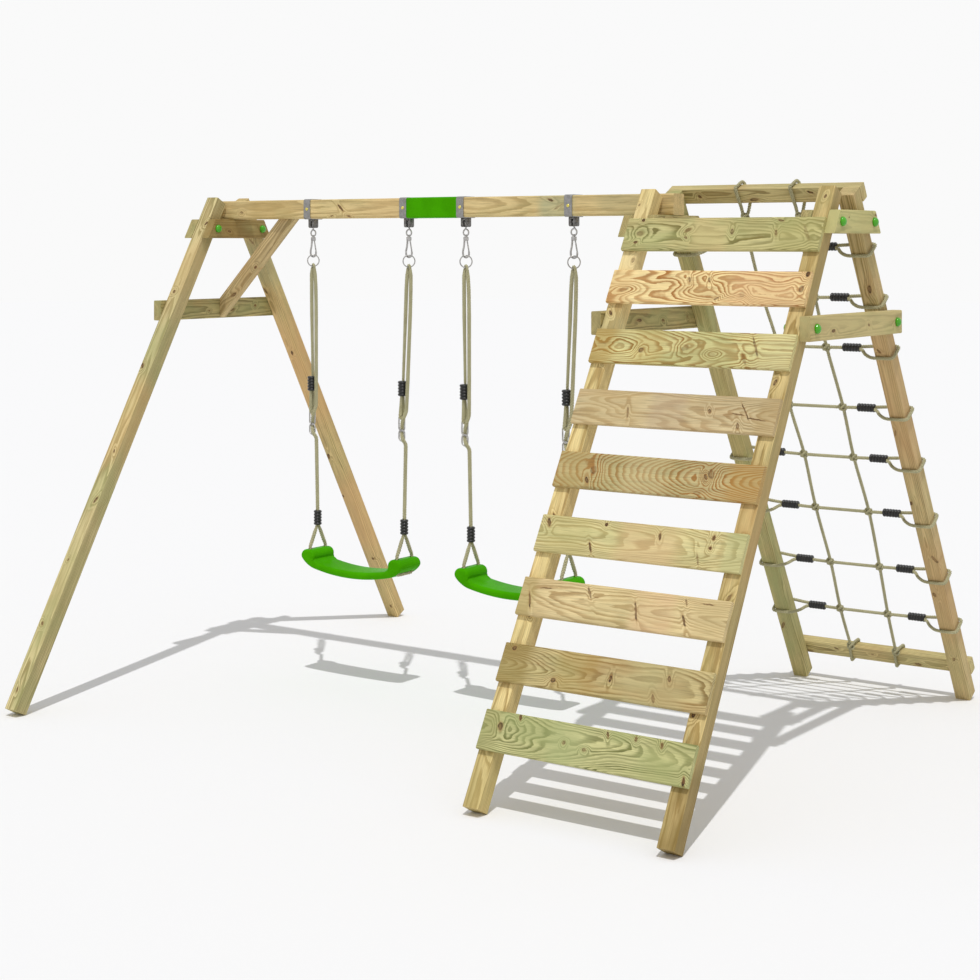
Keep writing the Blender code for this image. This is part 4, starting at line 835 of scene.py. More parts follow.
class SWINGSET_OT_crossbars(bpy.types.Operator):
    """Finish the crossbars that tie the leg pairs"""

    bl_idname = "swing_set.crossbars"
    bl_label = "Crossbars"

    def execute(self, context):
        bars = [f"{name}_upper_crossbar_{side}" for name in FRAMES for side in ("left", "right")]
        bars += [f"{name}_lower_crossbar" for name in FRAMES]
        for index, node in enumerate(bars):
            low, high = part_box(node)
            dress_timber(context, node, AXIS_Y, AXIS_X, BAR_TONES,
                         scattered_knots(node, (high.y - low.y) / 2, 0.04, 0.22),
                         2.1 + 0.53 * index, BAR_STAINS.get(node, ()))
        return {"FINISHED"}


class SWINGSET_OT_beam(bpy.types.Operator):
    """Finish the swing beam and the diagonal brace under it"""

    bl_idname = "swing_set.beam"
    bl_label = "Beam and Brace"

    def execute(self, context):
        centre = middle_of("swing_beam")
        knots = [(x - centre.x, z, a / 1000, b / 1000, turn, dark)
                 for x, z, a, b, turn, dark in BEAM_KNOTS]
        stains = [(x - centre.x, *tone) for x, *tone in BEAM_STAINS]
        dress_timber(context, "swing_beam", AXIS_X, -AXIS_Y, BEAM_TONES, knots, 4.4, stains)
        dress_timber(context, "diagonal_brace", (AXIS_X + AXIS_Z).normalized(), -AXIS_Y,
                     BRACE_TONES, scattered_knots("diagonal_brace", 0.34, 0.03, 0.2), 5.2)
        return {"FINISHED"}


class SWINGSET_OT_boards(bpy.types.Operator):
    """Finish the nine climbing boards, each with its own figure and knots"""

    bl_idname = "swing_set.boards"
    bl_label = "Climbing Boards"

    def execute(self, context):
        for index, (tones, knots, stains) in enumerate(BOARD_LOOKS):
            node = f"climbing_board_{index + 1}"
            low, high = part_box(node)
            long, wide = high.x - low.x, (high.z - low.z) / LEAN_COS
            knots = [((u - 0.5) * long, (v - 0.5) * wide, a / 1000, b / 1000, turn, dark)
                     for u, v, a, b, turn, dark in knots]
            stains = [((u - 0.5) * long, half * long, *tone) for u, half, *tone in stains]
            dress_timber(context, node, AXIS_X, sloped(-1)[1], tones, knots, 3.3 + 1.17 * index,
                         stains)
        return {"FINISHED"}


class SWINGSET_OT_rails(bpy.types.Operator):
    """Finish the two rails that stretch the net"""

    bl_idname = "swing_set.rails"
    bl_label = "Net Rails"

    def execute(self, context):
        for index, node in enumerate(("net_top_rail", "net_bottom_rail")):
            dress_timber(context, node, AXIS_X, sloped(1)[1], RAIL_TONES,
                         scattered_knots(node, 0.43, 0.03, 0.2), 6.1 + 0.9 * index)
        return {"FINISHED"}


# Profiles of turned metal, as (radius, height) points
PIN_HEAD = ((0.0, 0.0024), (0.0042, 0.0021), (0.0062, 0.0012), (0.0068, 0.0), (0.0, -0.002))
PIN = ((0.0, -0.0176), (0.004, -0.0176), (0.004, 0.0176), (0.0, 0.0176))
RIVET = ((0.0, 0.0016), (0.0022, 0.0014), (0.0034, 0.0004), (0.0036, 0.0), (0.0, -0.001))
# A pan head 15 mm across with a round socket, on its seat at height 0
PAN_SCREW = ((0.0, 0.0014), (0.0020, 0.0014), (0.0022, 0.0034), (0.0042, 0.0035),
             (0.0062, 0.0028), (0.0072, 0.0014), (0.0075, 0.0), (0.0, -0.0004))
# Under the hinge line: the round foot on a snap hook's head
SWIVEL = ((0.0, -0.0670), (0.0062, -0.0670), (0.0065, -0.0655), (0.0065, -0.0600),
          (0.0052, -0.0585), (0.0052, -0.0560), (0.0065, -0.0550), (0.0060, -0.0540),
          (0.0, -0.0538))
GATE_PIN = ((0.0, -0.0064), (0.0026, -0.0060), (0.0030, -0.0054), (0.0030, 0.0054),
            (0.0026, 0.0060), (0.0, 0.0064))
GATE_EYE = ((0.0, -0.0026), (0.0036, -0.0026), (0.0042, -0.0020), (0.0042, 0.0020),
            (0.0036, 0.0026), (0.0, 0.0026))
# A bolt's cap, and the angles of the points on its dome
CAP_RADIUS = 0.0185
CAP_HEIGHT = 0.018
CAP_RIM = 0.004
DOME_ANGLES = (0, 8, 18, 30, 42, 54, 66, 77, 86, 90)
# The strap round the beam, with the play under it, and the block under that
CORNER = 0.0083
PLAY = 0.0003
STRAP_WIDTH = 0.040
STRAP_THICKNESS = 0.003
SLOT = 0.0075
CHEEK = (0.01475, 0.030, 0.040)
CHEEK_DROP = 0.022
BRIDGE = (0.0365, 0.0296, 0.0095)
BRIDGE_DROP = 0.0055
RIVET_OFFSET = -0.0105
RIVET_DROP = 0.026
PIN_HEAD_OFFSET = 0.0185
EASED_EDGE = 0.0006


class SWINGSET_OT_bolts(bpy.types.Operator):
    """Make the bolts with their domed green caps"""

    bl_idname = "swing_set.bolts"
    bl_label = "Bolt Caps"

    def execute(self, context):
        green = finishes(context)["polished_green_cap"]
        for node in sorted(frame["nodes"]):
            if "_bolt_" not in node:
                continue
            low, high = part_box(node)
            half = (high.x - low.x) / 2
            seat = half - CAP_HEIGHT
            right = [(CAP_RADIUS * math.sin(math.radians(a)),
                      half - (CAP_HEIGHT - CAP_RIM) * (1 - math.cos(math.radians(a))))
                     for a in DOME_ANGLES]
            right += [(CAP_RADIUS, seat + 0.0012), (CAP_RADIUS - 0.0006, seat + 0.0004),
                      (CAP_RADIUS - 0.0012, seat), (0.005, seat)]
            bolt = turn_profile(right + [(r, -z) for r, z in reversed(right)], 36,
                                placed((low + high) / 2, "Y", QUARTER))
            new_piece(f"domed_cap_{node}", bolt, "frame", green, (node,))
        return {"FINISHED"}


def is_low_edge_along_x(edge):
    return runs_along_x(edge) and edge.verts[0].co.z < 0


class SWINGSET_OT_hangers(bpy.types.Operator):
    """Make the straps with their slotted bearing blocks, pins and screws"""

    bl_idname = "swing_set.hangers"
    bl_label = "Hangers"

    def execute(self, context):
        looks = finishes(context)
        low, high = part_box("swing_beam")
        half, axis_z = (high.z - low.z) / 2, (high.z + low.z) / 2
        top = low.z - 0.0018
        for _, tag, _, pivot in hangers():
            strap = moved(band(STRAP_WIDTH, half + PLAY, CORNER, STRAP_THICKNESS),
                          (pivot.x, 0.0, axis_z))
            shapes = []
            for way in (-1, 1):
                cheek = rounded_block(CHEEK, 0.009, 5, chosen=is_low_edge_along_x)
                ease_edges(cheek, [edge for edge in cheek.edges
                                   if edge.calc_face_angle(0.0) > math.radians(60)],
                           EASED_EDGE, 2)
                offset = way * (SLOT / 2 + CHEEK[0] / 2)
                shapes.append(moved(cheek, (pivot.x + offset, 0.0, top - CHEEK_DROP)))
                shapes.append(turn_profile(PIN_HEAD, 24, placed(
                    (pivot.x + way * PIN_HEAD_OFFSET, 0.0, pivot.z), "Y", way * QUARTER)))
            shapes += [
                rounded_block(BRIDGE, EASED_EDGE, 2, (pivot.x, 0.0, top - BRIDGE_DROP)),
                turn_profile(PIN, 24, placed(pivot, "Y", QUARTER)),
                turn_profile(RIVET, 16, placed((pivot.x + RIVET_OFFSET, -CHEEK[1] / 2,
                                                top - RIVET_DROP), "X", QUARTER))]
            screws = [turn_profile(PAN_SCREW, 24,
                                   placed((pivot.x, face * (half + 0.0033), axis_z), "X",
                                          -face * QUARTER)) for face in (-1, 1)]
            new_piece(f"beam_strap_{tag}", gather([strap]), "frame",
                      looks["galvanised_steel_fitting"], (f"hanger_{tag}",))
            new_piece(f"bearing_block_{tag}", gather(shapes), "frame",
                      looks["dark_steel_block"], (f"hanger_{tag}",))
            new_piece(f"strap_screws_{tag}", gather(screws), "frame",
                      looks["yellow_passivated_steel"])
        return {"FINISHED"}


class SWINGSET_OT_beam_wrap(bpy.types.Operator):
    """Make the plain green wrap round the middle of the beam"""

    bl_idname = "swing_set.beam_wrap"
    bl_label = "Beam Wrap"

    def execute(self, context):
        low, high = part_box("beam_wrap")
        beam_low, beam_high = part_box("swing_beam")
        half = (beam_high.z - beam_low.z) / 2 + PLAY
        wrap = band(high.x - low.x, half, CORNER, (high.z - low.z) / 2 - half)
        new_piece("moulded_beam_wrap", moved(wrap, (low + high) / 2), "frame",
                  finishes(context)["moulded_green_polyethylene"],
                  ("beam_wrap",))
        return {"FINISHED"}


# Snap hooks, measured down from the hinge line
WIRE = 0.003
PIN_LOOP = 0.0079
LINK_WIRE = 0.0036
EYE_DROP = 0.045
EYE_RADIUS = 0.0145
BODY_WIRE = 0.0045
HEAD_TOP = 0.064
HEAD_BOTTOM = 0.082
BODY_HALF_TOP = 0.008
BODY_HALF_BOTTOM = 0.0165
BODY_BOTTOM = 0.157
NOSE_DROP = 0.132
GATE_WIRE = 0.0034
GATE_PIVOT_X = 0.0055
GATE_PIVOT_DROP = 0.0765
RING_RADIUS = 0.0272
RING_WIRE = 0.0028
RING_TURN = math.radians(42.0)


class SWINGSET_OT_snap_hooks(bpy.types.Operator):
    """Make the swivel snap hooks that hang from the pins, and their sprung gates"""

    bl_idname = "swing_set.snap_hooks"
    bl_label = "Snap Hooks"

    def execute(self, context):
        steel = finishes(context)["bright_plated_wire"]
        for number, tag, way, pivot in hangers():
            at = below(pivot)
            eye = arc(pivot, PIN_LOOP, 0.0, 345.0, 23, AXIS_Y)
            link = [at(0.0, 0.0072), at(0.0, 0.015), at(0.0, 0.0225)]
            link += arc(at(0.0, EYE_DROP), EYE_RADIUS, 90.0 - 32.0 * way, 90.0 - 352.0 * way, 28)
            body = [at(-BODY_HALF_TOP, 0.079), at(-BODY_HALF_TOP - 0.0008, 0.086),
                    at(-0.0115, 0.108), at(-BODY_HALF_BOTTOM, 0.1285)]
            body += arc(at(0.0, BODY_BOTTOM - BODY_HALF_BOTTOM), BODY_HALF_BOTTOM, 180.0, 360.0,
                        20)
            body.append(at(BODY_HALF_BOTTOM, NOSE_DROP))
            gate_pivot = placed(at(GATE_PIVOT_X, GATE_PIVOT_DROP), "X", QUARTER)
            shapes = [wire_shape(eye, WIRE, closed=True),
                      wire_shape(smooth_line(link, 0.002)[0], LINK_WIRE),
                      wire_shape(smooth_line(body, 0.003)[0], BODY_WIRE),
                      turn_profile(SWIVEL, 24, placed(pivot)),
                      rounded_block((0.024, 0.012, HEAD_BOTTOM - HEAD_TOP), 0.0032, 4,
                                    at(0.0, (HEAD_TOP + HEAD_BOTTOM) / 2)),
                      turn_profile(GATE_PIN, 16, gate_pivot)]
            new_piece(f"swivel_hook_{tag}", gather(shapes), f"swing_{number}", steel,
                      (f"snap_hook_{tag}",))
            root, tip = gate_pivot.translation, at(BODY_HALF_BOTTOM, NOSE_DROP - 0.0004)
            gate = [wire_shape([root, root.lerp(tip, 0.5), tip], GATE_WIRE),
                    turn_profile(GATE_EYE, 20, gate_pivot)]
            new_piece(f"sprung_gate_{tag}", gather(gate), f"gate_{tag}", steel,
                      (f"hook_gate_{tag}",))
        return {"FINISHED"}


class SWINGSET_OT_rings(bpy.types.Operator):
    """Make the rings between the snap hooks and the ropes"""

    bl_idname = "swing_set.rings"
    bl_label = "Rings"

    def execute(self, context):
        steel = finishes(context)["bright_plated_wire"]
        across = Vector((math.cos(RING_TURN), math.sin(RING_TURN), 0.0))
        for number, tag, _, _ in hangers():
            node = f"ring_{tag}"
            line = arc(middle_of(node), RING_RADIUS, 0.0, 360.0, 64, across)[:-1]
            ring = gather([wire_shape(line, RING_WIRE, 5, closed=True)])
            new_piece(f"welded_{node}", ring, f"swing_{number}", steel,
                      (node,))
        return {"FINISHED"}


# A swing rope, measured down from the hinge line and from its hanger's own axis
UPPER_SLEEVE = 0.726
LOWER_SLEEVE = 1.362
SLEEVE_LENGTH = 0.070
# Radius and depth of the grooves of the upper and lower sleeves
UPPER_SIZE = (0.0210, 0.0045)
LOWER_SIZE = (0.0190, 0.0040)
WAIST = 0.955
ADJUSTER_TOP = 0.884
ADJUSTER_BOTTOM = 1.003
ADJUSTER_HALF = 0.0165
ADJUSTER_WIRE = 0.0034
SEAT_DROP = 1.652
HOLE_Y = 0.055
ROLL_MIDDLE = 0.260
SLEEVE_OFFSET = 0.024
# Radius of the rope where it is nipped in the ring, squeezed in a sleeve and led through a seat
NIP = 0.0062
SQUEEZE = 0.0070
IN_SEAT = 0.0086
# How the rope lies in the ring: its bend's radius and turn about Z
RING_BEND = 0.0100
BEND_TURN = math.radians(-28.0)
# Heights and shares of depth of a crimped sleeve's rib
RIB = ((0.06, 1.0), (0.16, 0.42), (0.30, 0.08), (0.50, 0.0), (0.70, 0.08), (0.84, 0.42),
       (0.94, 1.0))


def crimped_sleeve(length, radius, groove, ribs, place):
    """A crimped sleeve about Z with round ribs, standing on Z = 0."""
    mouth, pitch = radius - groove * 1.6, length / ribs
    wall = [(radius - groove * depth, (rib + share) * pitch)
            for rib in range(ribs) for share, depth in RIB]
    return turn_profile([(0.0, 0.0), (mouth, 0.0), *wall, (mouth, length), (0.0, length)], 28,
                        place)


def rope_route(pivot, way, lean, bend, radius):
    """The runs over and under a swing rope's lower sleeve, as (points, radius), and two places.

    way is -1 for a left rope and 1 for a right one, lean how far the lower sleeve hangs along X
    and bend the drop to the ring's lowest point. The places are the x of the upper sleeve and of
    the adjuster.
    """
    at = below(pivot)

    def load_x(drop):
        return lean * (drop - bend) / (LOWER_SLEEVE - bend)

    sleeve_x = load_x(UPPER_SLEEVE) - SLEEVE_OFFSET - way * 0.002
    waist_x = load_x(WAIST) - SLEEVE_OFFSET
    beside = SQUEEZE + 0.00015
    sleeve_end = UPPER_SLEEVE + SLEEVE_LENGTH
    off_wire = radius + 0.0015
    across = Vector((math.cos(BEND_TURN), math.sin(BEND_TURN), 0.0))
    # The two strands leave the ring turned into line with the beam and bow a little apart
    neck = at(0.0, bend + 0.036)
    apart = AXIS_X * (radius + 0.0006)
    runs = [
        ([at(lean, LOWER_SLEEVE + 0.039),
          at(load_x(ADJUSTER_BOTTOM), ADJUSTER_BOTTOM + 0.020)], radius),
        ([at(waist_x + part * ADJUSTER_HALF, WAIST + low, face * off_wire)
          for low, part, face in ((0.041, 1.0, -1), (0.024, 0.1, 0), (0.0, -0.45, 1),
                                  (-0.027, 0.1, 0), (-0.055, 1.0, -1))], radius),
        ([at(load_x(ADJUSTER_TOP), ADJUSTER_TOP - 0.020),
          at(load_x(UPPER_SLEEVE) + 0.005, UPPER_SLEEVE), at(load_x(0.42) + 0.012, 0.42),
          at(load_x(0.30) + 0.0125, 0.30), neck + apart], radius),
        (arc(at(0.0, bend), RING_BEND, 0.0, 180.0, 8, across), NIP),
        ([neck - apart, at(load_x(0.30) - 0.0125, 0.30), at(load_x(0.42) - 0.0145, 0.42)],
         radius),
        ([at(sleeve_x, UPPER_SLEEVE - 0.008, beside), at(sleeve_x, sleeve_end + 0.002, beside)],
         SQUEEZE),
        (arc(at(waist_x, ADJUSTER_TOP + 0.003), off_wire, 0.0, -180.0, 6, AXIS_Y), radius),
        ([at(sleeve_x, sleeve_end + 0.002, -beside), at(sleeve_x, UPPER_SLEEVE + 0.028, -beside)],
         SQUEEZE)]
    middle = LOWER_SLEEVE + SLEEVE_LENGTH / 2
    end = LOWER_SLEEVE + SLEEVE_LENGTH + 0.002
    turn = 0.0115
    corner, floor, hole_top = HOLE_Y - turn, SEAT_DROP - 0.051, SEAT_DROP - 0.120
    under = [at(lean, hole_top, -HOLE_Y)]
    under += arc(at(lean, floor, -corner), turn, 180.0, 270.0, 4, AXIS_Y)
    under += arc(at(lean, floor, corner), turn, 270.0, 360.0, 4, AXIS_Y)
    under.append(at(lean, hole_top, HOLE_Y))
    vee = [([at(lean, middle - 0.004, -beside), at(lean, end, -beside)], SQUEEZE),
           ([at(lean, end + 0.030, -0.0215), at(lean, hole_top - 0.025, -0.0430)], radius),
           (under, IN_SEAT),
           ([at(lean, hole_top - 0.025, 0.0430), at(lean, end + 0.030, 0.0215)], radius),
           ([at(lean, end, beside), at(lean, middle - 0.004, beside)], SQUEEZE)]
    return (runs, vee), sleeve_x, waist_x


class SWINGSET_OT_ropes(bpy.types.Operator):
    """Lay the four swing ropes with their crimped sleeves and figure-of-eight adjusters"""

    bl_idname = "swing_set.ropes"
    bl_label = "Swing Ropes"

    def execute(self, context):
        looks = finishes(context)
        look = context.scene.swing_rope
        for number, tag, way, pivot in hangers():
            lean = way * (ROLL_MIDDLE - abs(pivot.x - pivot_of(number).x))
            ring_drop = pivot.z - middle_of(f"ring_{tag}").z
            lengths, sleeve_x, waist_x = rope_route(pivot, way, lean, ring_drop + RING_RADIUS,
                                                    look.swing_radius)
            rope = join_meshes([
                lay_strands([point for run, _ in runs for point in run], look.swing_radius,
                            look.swing_lay, [size for run, size in runs for _ in run], sides=2)
                for runs in lengths])
            body = f"swing_{number}"
            new_piece(f"laid_rope_{tag}", rope, body, looks["laid_hemp_rope"],
                      (f"swing_rope_{tag}",))
            at = below(pivot)
            sleeves = [crimped_sleeve(SLEEVE_LENGTH, *size, 5, placed(at(x, top + SLEEVE_LENGTH)))
                       for x, top, size in ((sleeve_x, UPPER_SLEEVE, UPPER_SIZE),
                                            (lean, LOWER_SLEEVE, LOWER_SIZE))]
            new_piece(f"crimped_sleeves_{tag}", gather(sleeves), body,
                      looks["moulded_black_polypropylene"])
            loops = []
            for top, bottom, y in ((ADJUSTER_TOP, WAIST + 0.003, 0.0),
                                   (WAIST - 0.003, ADJUSTER_BOTTOM, 0.0003)):
                line = arc(at(waist_x, top + ADJUSTER_HALF, y), ADJUSTER_HALF, 0.0, 180.0, 16)
                line += arc(at(waist_x, bottom - ADJUSTER_HALF, y), ADJUSTER_HALF, 180.0, 360.0,
                            16)
                loops.append(wire_shape(line, ADJUSTER_WIRE, closed=True))
            new_piece(f"figure_of_eight_{tag}", gather(loops), body,
                      looks["bright_plated_wire"])
        return {"FINISHED"}


# A seat's side view, measured from its middle and its lowest line
SEAT_CURVE = 1.02
ROLL = 0.030
ROLL_RISE = 0.112
SEAT_EDGE = 0.034
SEAT_ROUND = 0.014
# Middles of the roll's outer and inner curve, and where the pan ends below and above
OUTER_ROLL = 0.270
INNER_ROLL = 0.250
PAN_END = 0.225
PAN_TOP_END = 0.200
# The hole for the rope, as (radius, height), and the hollow under the roll
ROPE_HOLE = ((0.0, 0.0), (0.0088, 0.0), (0.0088, 0.108), (0.0105, 0.1116), (0.0118, 0.1140),
             (0.0118, 0.2), (0.0, 0.2))
HOLLOW = (0.044, 0.1274, 0.102)
HOLLOW_MIDDLE = 0.271


def seat_side_view():
    """The seat's outline as (x, z) points: pan, toes, end rolls and creases."""

    def pan(x, base):
        return Vector((x, base + SEAT_CURVE - math.sqrt(SEAT_CURVE ** 2 - x ** 2)))

    def on_roll(centre_x, degrees):
        angle = math.radians(degrees)
        return Vector((centre_x + ROLL * math.cos(angle),
                       ROLL_RISE - ROLL + ROLL * math.sin(angle)))

    # The pan's underside runs in one sweep up to the roll, from 12.7 degrees to upright
    start, roll = pan(PAN_END, 0.0), on_roll(OUTER_ROLL, 0)
    climb = math.radians(12.7)
    lead = start + Vector((math.cos(climb), math.sin(climb))) * 0.030
    right = [pan(PAN_END * step / 14, 0.0) for step in range(14)]
    right += interpolate_bezier(start, lead, roll - Vector((0.0, 0.020)), roll, 13)
    right += [on_roll(OUTER_ROLL, degrees) for degrees in range(9, 91, 9)]
    right += [on_roll(INNER_ROLL, degrees) for degrees in range(93, 206, 9)]
    # A soft crease between the roll and the pan
    crease = on_roll(INNER_ROLL, 205)
    near = crease + (right[-1] - crease).normalized() * 0.005
    far = crease + (pan(0.205, SEAT_EDGE) - crease).normalized() * 0.005
    right += [near.lerp(crease, t).lerp(crease.lerp(far, t), t)
              for t in (step / 3 for step in range(4))]
    right += [pan(PAN_TOP_END * (1 - step / 12), SEAT_EDGE) for step in range(13)]
    clean = [right[0]]
    for point in right[1:]:
        if (point - clean[-1]).length > 0.0008:
            clean.append(point)
    return clean + [Vector((-point.x, point.y)) for point in reversed(clean[1:-1])]


def seat_shape(depth):
    """The moulded seat about its lowest middle line, its long edges rounded."""
    outline = seat_side_view()
    count = len(outline)
    inwards = []
    for place in range(count):
        along = (outline[(place + 1) % count] - outline[place - 1]).normalized()
        inwards.append(Vector((-along.y, along.x)))
    bm = bmesh.new()
    layer = bm.verts.layers.int.new("place")
    verts = [bm.verts.new((point.x, 0.0, point.y)) for point in outline]
    for place, vert in enumerate(verts):
        vert[layer] = place
    edges = [bm.edges.new((verts[place - 1], verts[place])) for place in range(count)]
    turns = [math.radians(15.0 * step) for step in range(7)]
    rounds = [(SEAT_ROUND * (1.0 - math.sin(turn)), SEAT_ROUND * (1.0 - math.cos(turn)) - depth / 2)
              for turn in turns]
    rounds += [(inset, -y) for inset, y in reversed(rounds)]
    first = edges
    for number, (inset, y) in enumerate(rounds):
        if number:
            grown = bmesh.ops.extrude_edge_only(bm, edges=edges)["geom"]
            verts = [item for item in grown if isinstance(item, bmesh.types.BMVert)]
            edges = [item for item in grown if isinstance(item, bmesh.types.BMEdge)
                     and item.verts[0] in verts and item.verts[1] in verts]
        for vert in verts:
            spot = outline[vert[layer]] + inwards[vert[layer]] * inset
            vert.co = (spot.x, y, spot.y)
    for rim in (first, edges):
        bmesh.ops.contextual_create(bm, geom=rim)
    bm.verts.layers.int.remove(layer)
    return close_up(bm)


def cut(shape, cutters):
    """Cuts closed shapes from a closed shape."""
    objects = [bpy.data.objects.new("cut", as_mesh(close_up(bm))) for bm in [shape] + cutters]
    tools = bpy.data.collections.new("cut")
    bpy.context.scene.collection.children.link(tools)
    for tool in objects[1:]:
        tools.objects.link(tool)
    whole = objects[0]
    bpy.context.scene.collection.objects.link(whole)
    modifier = whole.modifiers.new("cut", "BOOLEAN")
    modifier.operation = "DIFFERENCE"
    modifier.operand_type = "COLLECTION"
    modifier.collection = tools
    modifier.solver = "EXACT"
    result = bpy.data.meshes.new_from_object(
        whole.evaluated_get(bpy.context.evaluated_depsgraph_get()))
    for item in objects:
        bpy.data.objects.remove(item, do_unlink=True)
    bpy.data.collections.remove(tools)
    return result


class SWINGSET_OT_seats(bpy.types.Operator):
    """Make the two moulded seats"""

    bl_idname = "swing_set.seats"
    bl_label = "Seats"

    def execute(self, context):
        green = finishes(context)["moulded_green_polyethylene"]
        for number in SWINGS:
            node = f"swing_seat_{number}"
            low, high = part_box(node)
            cutters = []
            for side in (-1, 1):
                cutters += [turn_profile(ROPE_HOLE, 28, placed((side * ROLL_MIDDLE, y, 0.0)))
                            for y in (-HOLE_Y, HOLE_Y)]
                cutters.append(rounded_block(HOLLOW, 0.003, 2, (side * HOLLOW_MIDDLE, 0.0, 0.0)))
            mesh = cut(seat_shape(high.y - low.y), cutters)
            mesh.transform(placed(((low.x + high.x) / 2, (low.y + high.y) / 2, low.z)))
            new_piece(f"moulded_seat_{number}", mesh, f"swing_{number}", green,
                      (node,), sharp=50.0)
        return {"FINISHED"}


# The net, measured down the rear legs from their top cut and out from their outer face
NET_PLANE = -0.012
FIRST_ROW = 0.265
LAST_ROW_CLEAR = 0.400
ROW_SPREAD = (0.0, 0.126, 0.254, 0.412, 0.549, 0.700, 0.859, 1.0)
UPRIGHTS = (-0.122, 0.122)
# How far each knot stands to the side of its upright's straight line, row by row, in metres
WANDER = ((0.010, 0.008, 0.020, 0.002, 0.011, 0.0, 0.003, -0.009),
          (0.010, 0.006, 0.003, 0.011, 0.003, 0.011, -0.003, -0.020))
# How far the ties on the two rails stand from the uprights' straight lines
TOP_TIE_SHIFT = (0.025, 0.029)
FOOT_TIE_SHIFT = (-0.004, -0.026)
NET_REACH = 0.083
NET_SLEEVE = 0.080
NET_SLEEVE_SIZE = (0.0180, 0.0034)
RAIL_WIDTH = 0.068
RAIL_THICKNESS = 0.045
RAIL_END = 0.092
TIE_APEX = 0.060


def net_frame():
    """What the net hangs on.

    A function from (x, down, out) on the net side to the part's frame, the leg length, the rows'
    places down the legs, the legs' inner faces and the middle between them.
    """
    low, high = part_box("middle_rear_leg")
    leg_length = (high.z - low.z - LEG_SECTION * LEAN_SIN) / LEAN_COS
    top_y = high.y - leg_length * LEAN_SIN
    top_z = low.z + LEG_SECTION * LEAN_SIN + leg_length * LEAN_COS

    def spot(x, down, out):
        return Vector((x, top_y + down * LEAN_SIN + out * LEAN_COS,
                       top_z - down * LEAN_COS + out * LEAN_SIN))

    span = leg_length - LAST_ROW_CLEAR - FIRST_ROW
    rows = [FIRST_ROW + share * span for share in ROW_SPREAD]
    faces = high.x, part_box("right_rear_leg")[0].x
    return spot, leg_length, rows, faces, sum(faces) / 2


class SWINGSET_OT_net_rows(bpy.types.Operator):
    """Lay the net's rows, with their loops round the rear legs and their crimped sleeves"""

    bl_idname = "swing_set.net_rows"
    bl_label = "Net Rows"

    def execute(self, context):
        looks = finishes(context)
        look = context.scene.swing_rope
        radius, lay = look.net_radius, look.net_lay
        spot, _, rows, faces, middle = net_frame()
        meshes, sleeves = [], []
        clear = radius + 0.0003
        start = -NET_REACH - 0.004
        reach = NET_REACH + NET_SLEEVE / 2
        far = LEG_SECTION + clear + 0.003
        front = -LEG_SECTION - clear
        # Round a leg from the sleeve and back: along from its inner face, down and out
        above = ((start, 0.0, NET_PLANE + clear), (-0.052, 0.0, NET_PLANE + 1.5 * clear),
                 (-0.020, 0.0, 0.6 * clear), (0.004, 0.0, clear), (far - 0.016, 0.0, clear),
                 (far - 0.004, 0.0, clear - 0.005), (far, 0.001, clear - 0.018))
        sag = 0.006
        under = ((far, sag, front + 0.018), (far - 0.004, sag, front + 0.005),
                 (far - 0.016, sag, front), (0.004, sag, front), (-0.022, sag, front + 0.006),
                 (-0.050, sag - 0.001, front + 0.026), (-0.070, 0.002, NET_PLANE - 2.0 * clear),
                 (start, 0.0, NET_PLANE - clear))
        for row, down in enumerate(rows):
            knots = [middle + offset + WANDER[index][row]
                     for index, offset in enumerate(UPRIGHTS)]
            stops = (faces[0] + reach, *knots, faces[1] - reach)
            meshes.append(lay_strands([spot(x, down + low, NET_PLANE) for x, low in
                                       zip(stops, (0.0, 0.004, 0.003, 0.0))], radius, lay))
            for face_x, way in zip(faces, (-1, 1)):
                meshes.append(lay_strands([spot(face_x + way * along, down + low, out)
                                           for along, low, out in above + under], radius, lay))
                begin = face_x - way * (NET_REACH + NET_SLEEVE)
                sleeves.append(crimped_sleeve(
                    NET_SLEEVE, *NET_SLEEVE_SIZE, 6,
                    placed(spot(begin, down, NET_PLANE), "Y", way * QUARTER)))
        new_piece("net_rows_of_rope", join_meshes(meshes), "frame", looks["laid_hemp_rope"],
                  ("climbing_net",))
        new_piece("net_crimped_sleeves", gather(sleeves), "frame",
                  looks["moulded_black_polypropylene"])
        return {"FINISHED"}


